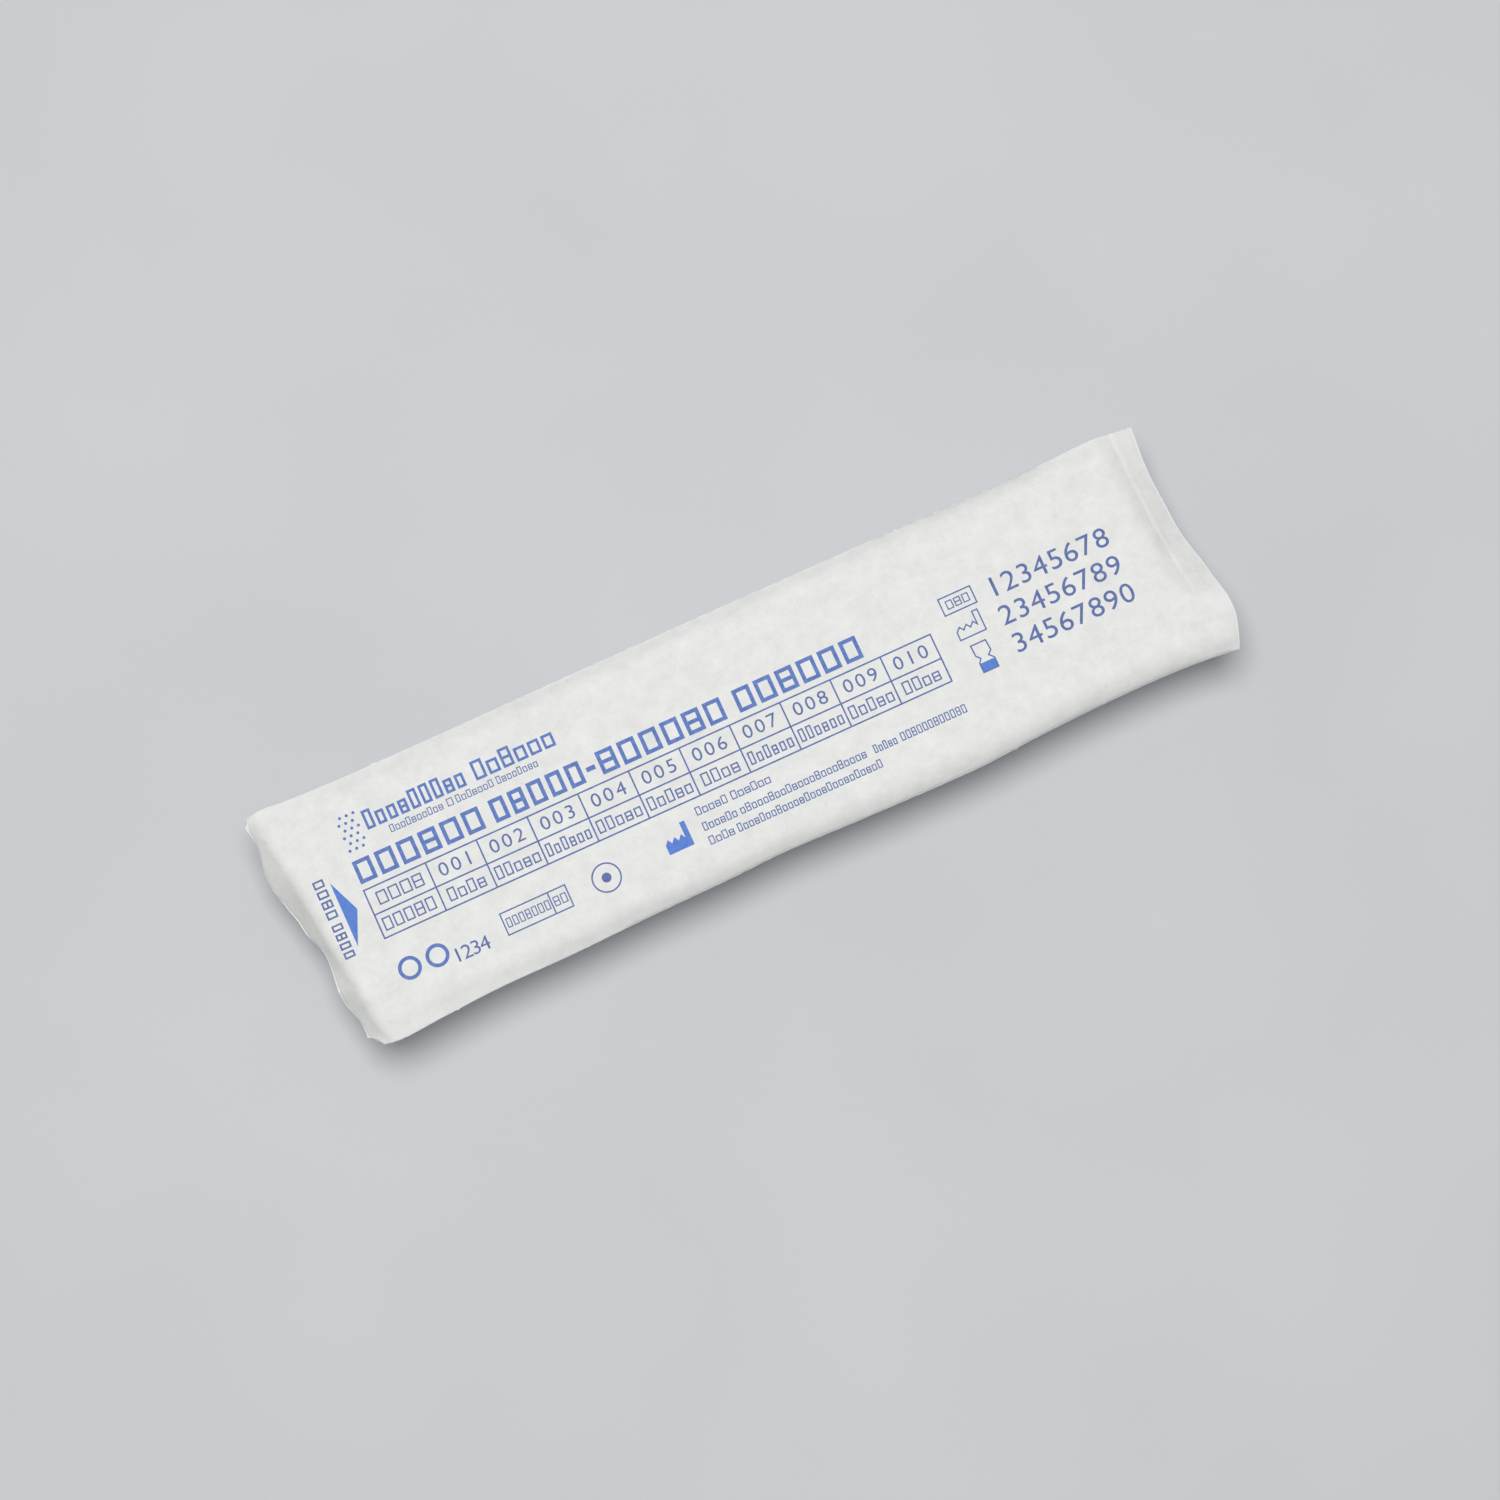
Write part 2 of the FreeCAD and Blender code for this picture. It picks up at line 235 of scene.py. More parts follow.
@dataclass(frozen=True)
class PackShape:
    """The pack as a height over its plan, and the outlines that bound it."""

    face_height: float
    pack_length: float = 120.0
    pack_width: float = 31.6
    paper_thickness: float = 0.13
    film_thickness: float = 0.19
    lip_gap: float = 0.26
    lip_root_gap: float = 0.06
    lip_past_curl: float = 1.9
    sealed_gap: float = 0.012
    gap_close_start: float = 0.9
    gap_close_run: float = 0.3
    roll_band: float = 3.1
    roll_radius: float = 3.6
    curl_band: float = 4.25
    curl_radius: float = 2.1
    curl_line_lean: float = 7.0
    curl_line_bow: float = 0.9
    flap_radius: float = 3.8
    seal_line_inset: float = 1.42
    seal_line_lean: float = 3.4
    seal_line_bow: float = 0.6
    seal_band: float = 3.2
    seal_groove_depth: float = 0.06
    seal_ridge_height: float = 0.03
    seal_groove_width: float = 0.66
    seal_fade_share: float = -0.62
    seal_fade_run: float = 0.3
    lid_sag: float = 0.13
    end_flange: float = 11.0
    side_flange: float = 5.3
    front_nibs: tuple[Mark, ...] = (
        (-45.7, 0.16, 0.3), (-28.0, 0.14, 0.3), (0.8, 0.14, 0.4), (10.5, 0.1, 0.3),
        (12.0, 0.12, 0.25), (30.6, 0.2, 0.35), (43.0, 0.18, 0.3),
    )
    back_nibs: tuple[Mark, ...] = (
        (-43.0, 0.16, 0.4), (-25.0, 0.2, 0.28), (-23.8, 0.16, 0.26), (-8.0, 0.18, 0.4),
        (28.5, 0.2, 0.32), (45.7, 0.14, 0.3),
    )
    fray_waves: tuple[tuple[float, float], ...] = ((0.022, 2.3), (0.018, 1.37), (0.014, 0.83))
    slack_waves: tuple[Wave, ...] = (
        (0.020, 23.0, 0.35, 0.4), (0.013, 12.5, 1.25, 2.1), (0.009, 9.0, 2.2, 4.4),
    )
    lip_waves: tuple[Wave, ...] = (
        (0.07, 5.2, 1.25, 0.9), (0.035, 2.9, 1.9, 2.6), (0.02, 1.7, 1.4, 4.0),
    )
    lip_wave_lead: float = 1.0
    lip_wave_reach: float = 4.6
    lip_wave_most: float = 1.2
    slope_step: float = 0.05

    @property
    def half_length(self) -> float:
        """Half the plain length."""
        return self.pack_length / 2

    @property
    def half_width(self) -> float:
        """Half the plain width."""
        return self.pack_width / 2

    @property
    def pocket_half_length(self) -> float:
        """Half the pocket's length inside the end flanges."""
        return self.half_length - self.end_flange

    @property
    def pocket_half_width(self) -> float:
        """Half the pocket's width inside the side flanges."""
        return self.half_width - self.side_flange

    def front_y(self, x: Array) -> Array:
        """Smooth front edge at each place along the pack."""
        return -self.half_width - FRONT_EDGE.stand_out(x / self.half_length)

    def back_y(self, x: Array) -> Array:
        """Smooth back edge at each place along the pack."""
        return self.half_width + BACK_EDGE.stand_out(x / self.half_length)

    def peel_x(self, share: Array) -> Array:
        """Peel edge at each share of the width."""
        return -self.half_length - PEEL_EDGE.stand_out(share)

    def flap_x(self, share: Array) -> Array:
        """Flap edge at each share of the width."""
        return self.half_length + FLAP_EDGE.stand_out(share)

    def nibs(self, x: Array, marks: Sequence[Mark]) -> Array:
        """Fray and small torn points left where the pack was parted from its neighbours.

        Args:
            x: places along the edge.
            marks: place, height and half width of each point. Their number also shifts the
                fray, so that no two edges fray alike.

        Returns:
            How far the edge stands out because of them.
        """
        out = bumps(x, marks)
        for size, length in self.fray_waves:
            out = out + size * np.sin(2 * math.pi * x / length + len(marks))
        return out

    def curl_line(self, share: Array) -> Array:
        """Skewed line where the peel end starts to curl, bowed outward near the back.

        Args:
            share: places across the pack, as shares of its width.

        Returns:
            The line's place along the pack at each share.
        """
        skew = math.tan(math.radians(self.curl_line_lean)) * share * self.half_width
        bow = self.curl_line_bow * np.clip(share, 0.0, 1.0) ** 2
        return self.curl_band - self.half_length - skew - bow

    def seal_line(self, share: Array) -> Array:
        """Skewed and slightly bowed line of the heat seal at the flap end."""
        skew = math.tan(math.radians(self.seal_line_lean)) * share * self.half_width
        return self.half_length - self.seal_line_inset - skew + self.seal_line_bow * share**2

    def share_at(self, x: Array, y: Array) -> Array:
        """Share of the width, from -1 at the front edge to 1 at the back edge."""
        front = self.front_y(x)
        return 2 * (y - front) / (self.back_y(x) - front) - 1

    def seal_share(self, share: Array) -> Array:
        """How much of the seal shows at each share of the width."""
        return ease((share - self.seal_fade_share) / self.seal_fade_run)

    def flap_start(self, share: Array) -> Array:
        """Where the flap starts to bend: before the seal line as far as the seal shows."""
        return self.seal_line(share) - self.seal_band * self.seal_share(share)

    def seal_height(self, x: Array, share: Array) -> Array:
        """Groove of the seal line, and the low ridge beside it.

        Args:
            x: places along the pack.
            share: places across it.

        Returns:
            Height to add to the paper face.
        """
        from_line = x - self.seal_line(share)
        half_groove = self.seal_groove_width / 2
        groove = (-half_groove, -self.seal_groove_depth, half_groove)
        ridge = (half_groove / 2, self.seal_ridge_height, half_groove)
        return self.seal_share(share) * bumps(from_line, (groove, ridge))

    def slack(self, x: Array, y: Array) -> Array:
        """Sag of the paper over the pocket, with the low waves that slack paper has.

        Args:
            x: places along the pack.
            y: places across it.

        Returns:
            Height to add to the paper face.
        """
        along = np.minimum(np.abs(x) / self.pocket_half_length, 1.0)
        across = np.minimum(np.abs(y) / self.pocket_half_width, 1.0)
        sag = self.lid_sag * (1 - ease(along)) * (1 - ease(across))
        return low_waves(x, y, self.slack_waves) - sag

    def lip_ruffle(self, x: Array, y: Array, share: Array) -> Array:
        """Small ruffles that grow towards the cut edge of the peel end.

        Args:
            x: places along the pack.
            y: places across it.
            share: places across it, as shares.

        Returns:
            Height to add to the paper face.
        """
        past_line = self.curl_line(share) + self.lip_wave_lead - x
        reach = np.clip(past_line / self.lip_wave_reach, 0.0, self.lip_wave_most)
        return low_waves(x, y, self.lip_waves) * reach**2

    def height(self, x: Array, y: Array) -> Array:
        """Height of the paper face over a place in plan.

        Args:
            x: places along the pack.
            y: places across it.

        Returns:
            The height of the face at each place.
        """
        share = self.share_at(x, y)
        along = x / self.half_length
        bends = (
            (self.roll_band - (y - self.front_y(x)), self.roll_radius, FRONT_EDGE.bend(along)),
            (self.roll_band - (self.back_y(x) - y), self.roll_radius, BACK_EDGE.bend(along)),
            (self.curl_line(share) - x, self.curl_radius, PEEL_EDGE.bend(share)),
            (x - self.flap_start(share), self.flap_radius, FLAP_EDGE.bend(share)),
        )
        drop = sum(bend_drop(reach, radius, degrees) for reach, radius, degrees in bends)
        rise = self.seal_height(x, share) + self.slack(x, y) + self.lip_ruffle(x, y, share)
        return self.face_height - drop + rise

    def below_face(self, x: Array, y: Array, depth: Array | float) -> Array:
        """Height of a sheet that lies a given depth under the paper face.

        Args:
            x: places along the pack.
            y: places across it.
            depth: distance under the face, measured square to it.

        Returns:
            The height of that sheet at each place.
        """
        step = self.slope_step
        slope_x = (self.height(x + step, y) - self.height(x - step, y)) / (2 * step)
        slope_y = (self.height(x, y + step) - self.height(x, y - step)) / (2 * step)
        return self.height(x, y) - depth * np.sqrt(1 + slope_x**2 + slope_y**2)

    def web_gap(self, x: Array, y: Array) -> Array:
        """Gap between paper and film: widest at the peel edge, closed in the seal.

        Args:
            x: places along the pack.
            y: places across it.

        Returns:
            The gap at each place.
        """
        share = np.clip(self.share_at(x, y), -1.0, 1.0)
        edge = self.peel_x(share)
        lip_end = self.curl_line(share) + self.lip_past_curl
        reach = (x - edge) / (lip_end - edge)
        lip = self.lip_root_gap + (self.lip_gap - self.lip_root_gap) * (1 - ease(reach))
        closed = ease((reach - self.gap_close_start) / self.gap_close_run)
        return self.sealed_gap + (lip - self.sealed_gap) * (1 - closed)


@dataclass(frozen=True)
class NoiseField:
    """One noise of a finish: its size on the object, its depth and how far it is stretched."""

    per_mm: float
    detail: float = 2.0
    roughness: float = 0.5
    stretch: tuple[float, float, float] = (1.0, 1.0, 1.0)
    turn: float = 0.0
    low: float = 0.3
    high: float = 0.7


def add_node(
    tree: NodeTree, kind: str, inputs: dict[int | str, Socket | float | tuple], **options: str
) -> Node:
    """Add a shader node with its inputs linked or set.

    Args:
        tree: node tree of the world or of a material.
        kind: the node's type.
        inputs: for each input, by name or number, the socket that feeds it or its value.
        options: the node's own settings.

    Returns:
        The new node.
    """
    node = tree.nodes.new(kind)
    for name, option in options.items():
        setattr(node, name, option)
    for place, source in inputs.items():
        if isinstance(source, Socket):
            tree.links.new(source, node.inputs[place])
        else:
            node.inputs[place].default_value = source
    return node


class ShaderGraph:
    """Short way to lay out the nodes of one procedural finish."""

    def __init__(self, name: str) -> None:
        """Start an empty material with one surface shader.

        Args:
            name: the material's name.
        """
        self.material = bpy.data.materials.new(name)
        self.material.use_nodes = True
        self.tree = self.material.node_tree
        self.surface = self.tree.nodes["Principled BSDF"]
        self.place = add_node(self.tree, "ShaderNodeTexCoord", {}).outputs["Object"]

    def noise(self, noise: NoiseField) -> Socket:
        """Noise over the object's own place, spread to the full range from 0 to 1.

        Args:
            noise: size and character of the noise.

        Returns:
            The socket that gives the noise.
        """
        mapping = add_node(self.tree, "ShaderNodeMapping", {
            "Vector": self.place,
            "Scale": tuple(stretch / METRES_PER_MM for stretch in noise.stretch),
            "Rotation": (0.0, 0.0, noise.turn),
        })
        texture = add_node(self.tree, "ShaderNodeTexNoise", {
            "Vector": mapping.outputs["Vector"],
            "Scale": noise.per_mm,
            "Detail": noise.detail,
            "Roughness": noise.roughness,
        })
        spread = add_node(self.tree, "ShaderNodeMapRange", {
            "Value": texture.outputs["Fac"], "From Min": noise.low, "From Max": noise.high,
        })
        return spread.outputs["Result"]

    def blend(
        self, share: Socket, first: Socket | Colour, second: Colour, strength: float = 1.0
    ) -> Socket:
        """Mix from a first colour to a second one.

        Args:
            share: socket that says how much of the second colour shows.
            first: a display colour, or the socket of an earlier mix.
            second: a display colour.
            strength: the most of the second colour that ever shows.

        Returns:
            The mixed colour's socket.
        """
        scale = add_node(
            self.tree, "ShaderNodeMath", {0: share, 1: strength}, operation="MULTIPLY"
        )
        mix = add_node(self.tree, "ShaderNodeMix", {
            "Factor": scale.outputs[0],
            MIX_FIRST_COLOUR: linear(first) if isinstance(first, tuple) else first,
            MIX_SECOND_COLOUR: linear(second),
        }, data_type="RGBA")
        return mix.outputs[MIX_RESULT_COLOUR]

    def relief(self, height: Socket, depth_mm: float, strength: float) -> None:
        """Give the surface a fine relief.

        Args:
            height: socket that gives the height from 0 to 1.
            depth_mm: how deep the relief is.
            strength: how strongly it shows.
        """
        bump = add_node(self.tree, "ShaderNodeBump", {
            "Height": height, "Strength": strength, "Distance": depth_mm * METRES_PER_MM,
        })
        self.tree.links.new(bump.outputs["Normal"], self.surface.inputs["Normal"])

    def colour(self, socket: Socket) -> None:
        """Use a socket as the surface colour."""
        self.tree.links.new(socket, self.surface.inputs["Base Color"])

    def set(self, **values: float) -> None:
        """Set plain numbers on the surface shader, by socket name with _ for a space."""
        for name, value in values.items():
            self.surface.inputs[name.replace("_", " ")].default_value = value


@dataclass(frozen=True)
class PaperFinish:
    """Uncoated medical paper: near white, faintly clouded, with fine fibres."""

    light: Colour = (235, 236, 233)
    dark: Colour = (220, 221, 218)
    fibre: Colour = (244, 245, 243)
    speck: Colour = (196, 198, 196)
    cloud_noise: NoiseField = NoiseField(per_mm=0.32, detail=5.0, roughness=0.78)
    fibre_noise: NoiseField = NoiseField(
        per_mm=1.0, detail=1.0, stretch=(0.5, 4.6, 1.0), turn=0.5, low=0.62, high=0.72
    )
    cross_noise: NoiseField = NoiseField(
        per_mm=1.0, detail=1.0, stretch=(4.2, 0.45, 1.0), turn=0.35, low=0.63, high=0.73
    )
    speck_noise: NoiseField = NoiseField(per_mm=1.6, detail=0.0, low=0.8, high=0.86)
    grain_noise: NoiseField = NoiseField(per_mm=3.2, detail=3.0, roughness=0.6)
    fibre_strength: float = 0.16
    cross_strength: float = 0.13
    speck_strength: float = 0.26

    def material(self) -> Material:
        """Build the paper's material.

        Returns:
            The procedural material.
        """
        graph = ShaderGraph("medical_paper")
        face = graph.blend(graph.noise(self.cloud_noise), self.dark, self.light)
        layers = (
            (self.fibre_noise, self.fibre, self.fibre_strength),
            (self.cross_noise, self.fibre, self.cross_strength),
            (self.speck_noise, self.speck, self.speck_strength),
        )
        for noise, colour, strength in layers:
            face = graph.blend(graph.noise(noise), face, colour, strength)
        graph.colour(face)
        graph.relief(graph.noise(self.grain_noise), depth_mm=0.012, strength=0.35)
        graph.set(Roughness=0.78, Specular_IOR_Level=0.22)
        return graph.material


@dataclass(frozen=True)
class FilmFinish:
    """Milky formed film: soft satin, faintly clouded, with fine drawn marks in its relief."""

    light: Colour = (236, 239, 241)
    dark: Colour = (225, 230, 233)
    cloud_noise: NoiseField = NoiseField(per_mm=0.16, detail=3.0, roughness=0.55)
    drawn_noise: NoiseField = NoiseField(per_mm=1.0, stretch=(0.9, 0.9, 0.12))

    def material(self) -> Material:
        """Build the film's material.

        Returns:
            The procedural material.
        """
        graph = ShaderGraph("milky_film")
        graph.colour(graph.blend(graph.noise(self.cloud_noise), self.light, self.dark))
        graph.relief(graph.noise(self.drawn_noise), depth_mm=0.02, strength=0.25)
        graph.set(Roughness=0.34, Specular_IOR_Level=0.5, Coat_Weight=0.12, Coat_Roughness=0.3)
        return graph.material


@dataclass(frozen=True)
class InkFinish:
    """Blue print that lets a little of the paper's grain through."""

    name: str
    full: Colour
    thin: Colour
    grain_noise: NoiseField = NoiseField(
        per_mm=1.5, detail=4.0, roughness=0.7, low=0.34, high=0.72
    )

    def material(self) -> Material:
        """Build the ink's material.

        Returns:
            The procedural material.
        """
        graph = ShaderGraph(self.name)
        graph.colour(graph.blend(graph.noise(self.grain_noise), self.full, self.thin))
        graph.set(Roughness=0.62, Specular_IOR_Level=0.25)
        return graph.material


def seen_directly(tree: NodeTree) -> Socket:
    """Share that is 1 where the camera or a mirror looks, and 0 where light is gathered.

    Args:
        tree: node tree of the world or of a material.

    Returns:
        The socket that gives the share.
    """
    path = add_node(tree, "ShaderNodeLightPath", {}).outputs
    rays = {0: path["Is Camera Ray"], 1: path["Is Glossy Ray"]}
    return add_node(tree, "ShaderNodeMath", rays, operation="MAXIMUM").outputs[0]


@dataclass(frozen=True)
class FloorFinish:
    """Plain pale table top that passes into the backdrop far from the pack."""

    light: Colour = (205, 207, 209)
    dark: Colour = (201, 203, 205)
    noise: NoiseField = NoiseField(per_mm=0.02)
    fade_start: float = 190.0
    fade_end: float = 900.0

    def material(self, backdrop_strength: float) -> Material:
        """Build the floor's material.

        Args:
            backdrop_strength: how brightly the backdrop behind the table shows.

        Returns:
            The procedural material.
        """
        graph = ShaderGraph("pale_table")
        graph.colour(graph.blend(graph.noise(self.noise), self.light, self.dark))
        graph.set(Roughness=0.9, Specular_IOR_Level=0.1)
        tree = graph.tree
        reach = add_node(tree, "ShaderNodeVectorMath", {0: graph.place}, operation="LENGTH")
        fade = add_node(tree, "ShaderNodeMapRange", {
            "Value": reach.outputs["Value"],
            "From Min": self.fade_start * METRES_PER_MM,
            "From Max": self.fade_end * METRES_PER_MM,
        }, interpolation_type="SMOOTHSTEP")
        shares = {0: fade.outputs["Result"], 1: seen_directly(tree)}
        seen = add_node(tree, "ShaderNodeMath", shares, operation="MULTIPLY")
        backdrop = add_node(tree, "ShaderNodeEmission", {"Strength": backdrop_strength})
        mix = add_node(tree, "ShaderNodeMixShader", {
            0: seen.outputs[0], 1: graph.surface.outputs["BSDF"], 2: backdrop.outputs["Emission"],
        })
        tree.links.new(mix.outputs[0], tree.nodes["Material Output"].inputs["Surface"])
        return graph.material


def make_piece(
    name: str,
    points: Array,
    faces: list[list[int]],
    material: Material,
    crease_degrees: float = 50.0,
) -> Piece:
    """Make one shown piece of the pack and let it ride on the pack's body.

    Args:
        name: the piece's name.
        points: its points in millimetres.
        faces: its faces, as rows of point numbers.
        material: its finish.
        crease_degrees: edges sharper than this stay crisp.

    Returns:
        The new object.
    """
    mesh = bpy.data.meshes.new(name)
    mesh.from_pydata((points * METRES_PER_MM).tolist(), [], faces)
    mesh.polygons.foreach_set("use_smooth", [True] * len(mesh.polygons))
    mesh.set_sharp_from_angle(angle=math.radians(crease_degrees))
    mesh.materials.append(material)
    piece = bpy.data.objects.new(name, mesh)
    bpy.context.scene.collection.objects.link(piece)
    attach(piece, BODY)
    return piece


def grid_faces(rows: int, columns: int, first: int = 0, flip: bool = False) -> list[list[int]]:
    """Quads of a grid of points that is numbered row by row.

    Args:
        rows: number of rows of points.
        columns: number of points in a row.
        first: number of the grid's first point.
        flip: turn the quads over.

    Returns:
        The quads.
    """
    faces = []
    for row in range(rows - 1):
        for column in range(columns - 1):
            corner = first + row * columns + column
            quad = [corner, corner + columns, corner + columns + 1, corner + 1]
            faces.append(quad[::-1] if flip else quad)
    return faces


def round_pairs(numbers: Sequence[int]) -> list[tuple[int, int]]:
    """Each number of a closed loop with the one after it."""
    return list(zip(numbers, [*numbers[1:], numbers[0]]))


def arc(centre: Point | Array, radius: float, start: float, turn: float, steps: int) -> Array:
    """Points along an arc, without its last one.

    Args:
        centre: middle of the arc.
        radius: its radius.
        start: angle of its first point in degrees.
        turn: how far it goes round, in degrees.
        steps: number of points.

    Returns:
        The points in order.
    """
    angles = np.radians(start + turn * np.arange(steps) / steps)
    return np.array(centre) + radius * np.column_stack([np.cos(angles), np.sin(angles)])


def graded(count: int, crowding: float) -> Array:
    """Places from 0 to 1 that lie closer together near both ends.

    Args:
        count: number of places.
        crowding: 0 for even places, up to just under 1 for crowded ends.

    Returns:
        The places in order.
    """
    even = np.linspace(0.0, 1.0, count)
    return even - crowding * np.sin(2 * math.pi * even) / (2 * math.pi)


@dataclass(frozen=True)
class PaperLid:
    """Paper web of the pack: a thin closed sheet with rolled, curled and torn edges."""

    shape: PackShape
    finish: PaperFinish
    rows: int = 460
    columns: int = 84
    end_crowding: float = 0.45
    side_crowding: float = 0.35

    def plan(self) -> tuple[Array, Array]:
        """Plan places of the sheet's points.

        Returns:
            Two grids, of the places along the pack and across it.
        """
        along = graded(self.rows, self.end_crowding)[:, None]
        across = graded(self.columns, self.side_crowding)[None, :]
        share = 2 * across - 1
        start = self.shape.peel_x(share)
        x = start + (self.shape.flap_x(share) - start) * along
        front = self.shape.front_y(x) - self.shape.nibs(x, self.shape.front_nibs)
        back = self.shape.back_y(x) + self.shape.nibs(x, self.shape.back_nibs)
        return x, front + (back - front) * across

    def build(self) -> Piece:
        """Build the paper web as a closed mesh.

        Returns:
            The new object.
        """
        x, y = self.plan()
        upper = np.stack([x, y, self.shape.height(x, y)], axis=-1)
        under_z = self.shape.below_face(x, y, self.shape.paper_thickness)
        lower = np.stack([x, y, under_z], axis=-1)
        points = np.concatenate([upper.reshape(-1, 3), lower.reshape(-1, 3)])
        under = self.rows * self.columns
        faces = grid_faces(self.rows, self.columns)
        faces += grid_faces(self.rows, self.columns, under, flip=True)
        faces += self.rim_faces(under)
        lid = make_piece("paper_web", points, faces, self.finish.material())
        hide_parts(NODE)
        return lid

    def rim_faces(self, under: int) -> list[list[int]]:
        """Quads of the cut edge between the two sides.

        Args:
            under: number of the first point of the under side.

        Returns:
            The quads, in order round the sheet.
        """
        last_row = (self.rows - 1) * self.columns
        front = [row * self.columns for row in range(self.rows)]
        flap = [last_row + column for column in range(1, self.columns)]
        back = [row * self.columns + self.columns - 1 for row in reversed(range(self.rows - 1))]
        peel = list(range(self.columns - 2, 0, -1))
        loop = front + flap + back + peel
        return [[a, a + under, b + under, b] for a, b in round_pairs(loop)]


@dataclass(frozen=True)
class FilmWeb:
    """Formed film web: sealed flange under the paper, flared mouth and deep pocket."""

    shape: PackShape
    finish: FilmFinish
    wall_slope: float = 14.0
    corner_radius: float = 5.0
    floor_edge_radius: float = 3.4
    mouth_flare: float = 0.9
    stand_out: float = 0.05
    flap_stand_out: float = 0.14
    peel_stand_out: float = 0.13
    peel_marks: tuple[Mark, ...] = (
        (1.0, -0.7, 0.04), (0.95, 0.43, 0.04), (0.88, 0.05, 0.05), (-0.5, 0.1, 0.12),
        (0.1, 0.05, 0.2),
    )
    crease_degrees: float = 35.0
    flange_crowding: float = 1.25
    corner_steps: int = 15
    long_steps: int = 150
    short_steps: int = 60
    flange_steps: int = 26
    wall_steps: int = 9
    fillet_steps: int = 9
    floor_steps: int = 5

    @property
    def neck_height(self) -> float:
        """Height at which the wall meets the flared mouth."""
        return self.shape.face_height - self.mouth_flare

    def side_shares(self) -> tuple[Array, Array]:
        """How far along one side each point of a ring lies, for long and short sides.

        Returns:
            Shares from 0 to just under 1, for a long side and for a short one.
        """
        half_corner = self.corner_radius * math.radians(EIGHTH_TURN)
        corner = [half_corner / self.corner_steps] * self.corner_steps
        shares = []
        for half_side, steps in (
            (self.shape.pocket_half_length, self.long_steps),
            (self.shape.pocket_half_width, self.short_steps),
        ):
            straight = 2 * (half_side - self.corner_radius)
            ends = np.cumsum(corner + [straight / steps] * steps + corner)
            shares.append(np.concatenate([[0.0], ends[:-1]]) / ends[-1])
        return shares[0], shares[1]

    def outline(self, past_paper: float) -> Array:
        """Cut edge of the film in plan, or the paper's smooth edge above it.

        Args:
            past_paper: 1 for the film's own edge, 0 for the paper's.

        Returns:
            Points round the film, from the front peel corner along the front edge.
        """
        shape = self.shape
        side = self.stand_out * past_paper
        along, across = self.side_shares()
        share = np.concatenate([
            np.full_like(along, -1.0), 2 * across - 1, np.full_like(along, 1.0), 1 - 2 * across,
        ])
        run = np.concatenate([along, np.ones_like(across), 1 - along, np.zeros_like(across)])
        peel = shape.peel_x(share) - self.peel_extra(share) * past_paper
        flap = shape.flap_x(share) + self.flap_stand_out * past_paper
        x = peel + (flap - peel) * run
        front, back = shape.front_y(x) - side, shape.back_y(x) + side
        return np.column_stack([x, front + (back - front) * (share + 1) / 2])

    def peel_extra(self, share: Array) -> Array:
        """How far the film lip stands out past the paper lip.

        Args:
            share: places across the pack.

        Returns:
            The stand-out at each place.
        """
        return self.peel_stand_out + bumps(share, self.peel_marks)

    def rounded_ring(self, half_length: float, half_width: float, radius: float) -> Array:
        """Rectangle with round corners, with its points in step with the outline's.

        Args:
            half_length: half its size along the pack.
            half_width: half its size across the pack.
            radius: radius of its corners.

        Returns:
            Points round it, from the middle of the front peel corner.
        """
        corners = np.array([(-1, -1), (1, -1), (1, 1), (-1, 1)])
        centres = corners * [half_length - radius, half_width - radius]
        parts: list[Array] = []
        for index, (here, after) in enumerate(zip(centres, np.roll(centres, -1, axis=0))):
            steps = self.long_steps if index % 2 == 0 else self.short_steps
            side = QUARTER_TURN * (index - 1)
            entry = arc(here, radius, side - EIGHTH_TURN, EIGHTH_TURN, self.corner_steps)
            leave = arc(after, radius, side, EIGHTH_TURN, self.corner_steps)
            side_start = leave[0] - after + here
            parts += [entry, np.linspace(side_start, leave[0], steps, endpoint=False), leave]
        return np.concatenate(parts)

    def wall_inset(self, z: float) -> float:
        """How far the sloping wall has come in at a height below the neck."""
        return (self.neck_height - z) * math.tan(math.radians(self.wall_slope))

    def wall_profile(self) -> list[tuple[float, float]]:
        """Inset and height down the wall and round the floor edge.

        Returns:
            Pairs of inset and height, from the neck to the floor.
        """
        slope, radius = math.radians(self.wall_slope), self.floor_edge_radius
        reach = radius * math.tan((math.pi / 2 - slope) / 2)
        fillet_top = reach * math.cos(slope)
        profile = []
        for step in range(self.wall_steps):
            z = self.neck_height + (fillet_top - self.neck_height) * step / self.wall_steps
            profile.append((self.wall_inset(z), z))
        centre = self.wall_inset(0.0) + reach
        for step in range(self.fillet_steps + 1):
            angle = math.pi + slope + (math.pi / 2 - slope) * step / self.fillet_steps
            profile.append((centre + radius * math.cos(angle), radius + radius * math.sin(angle)))
        return profile

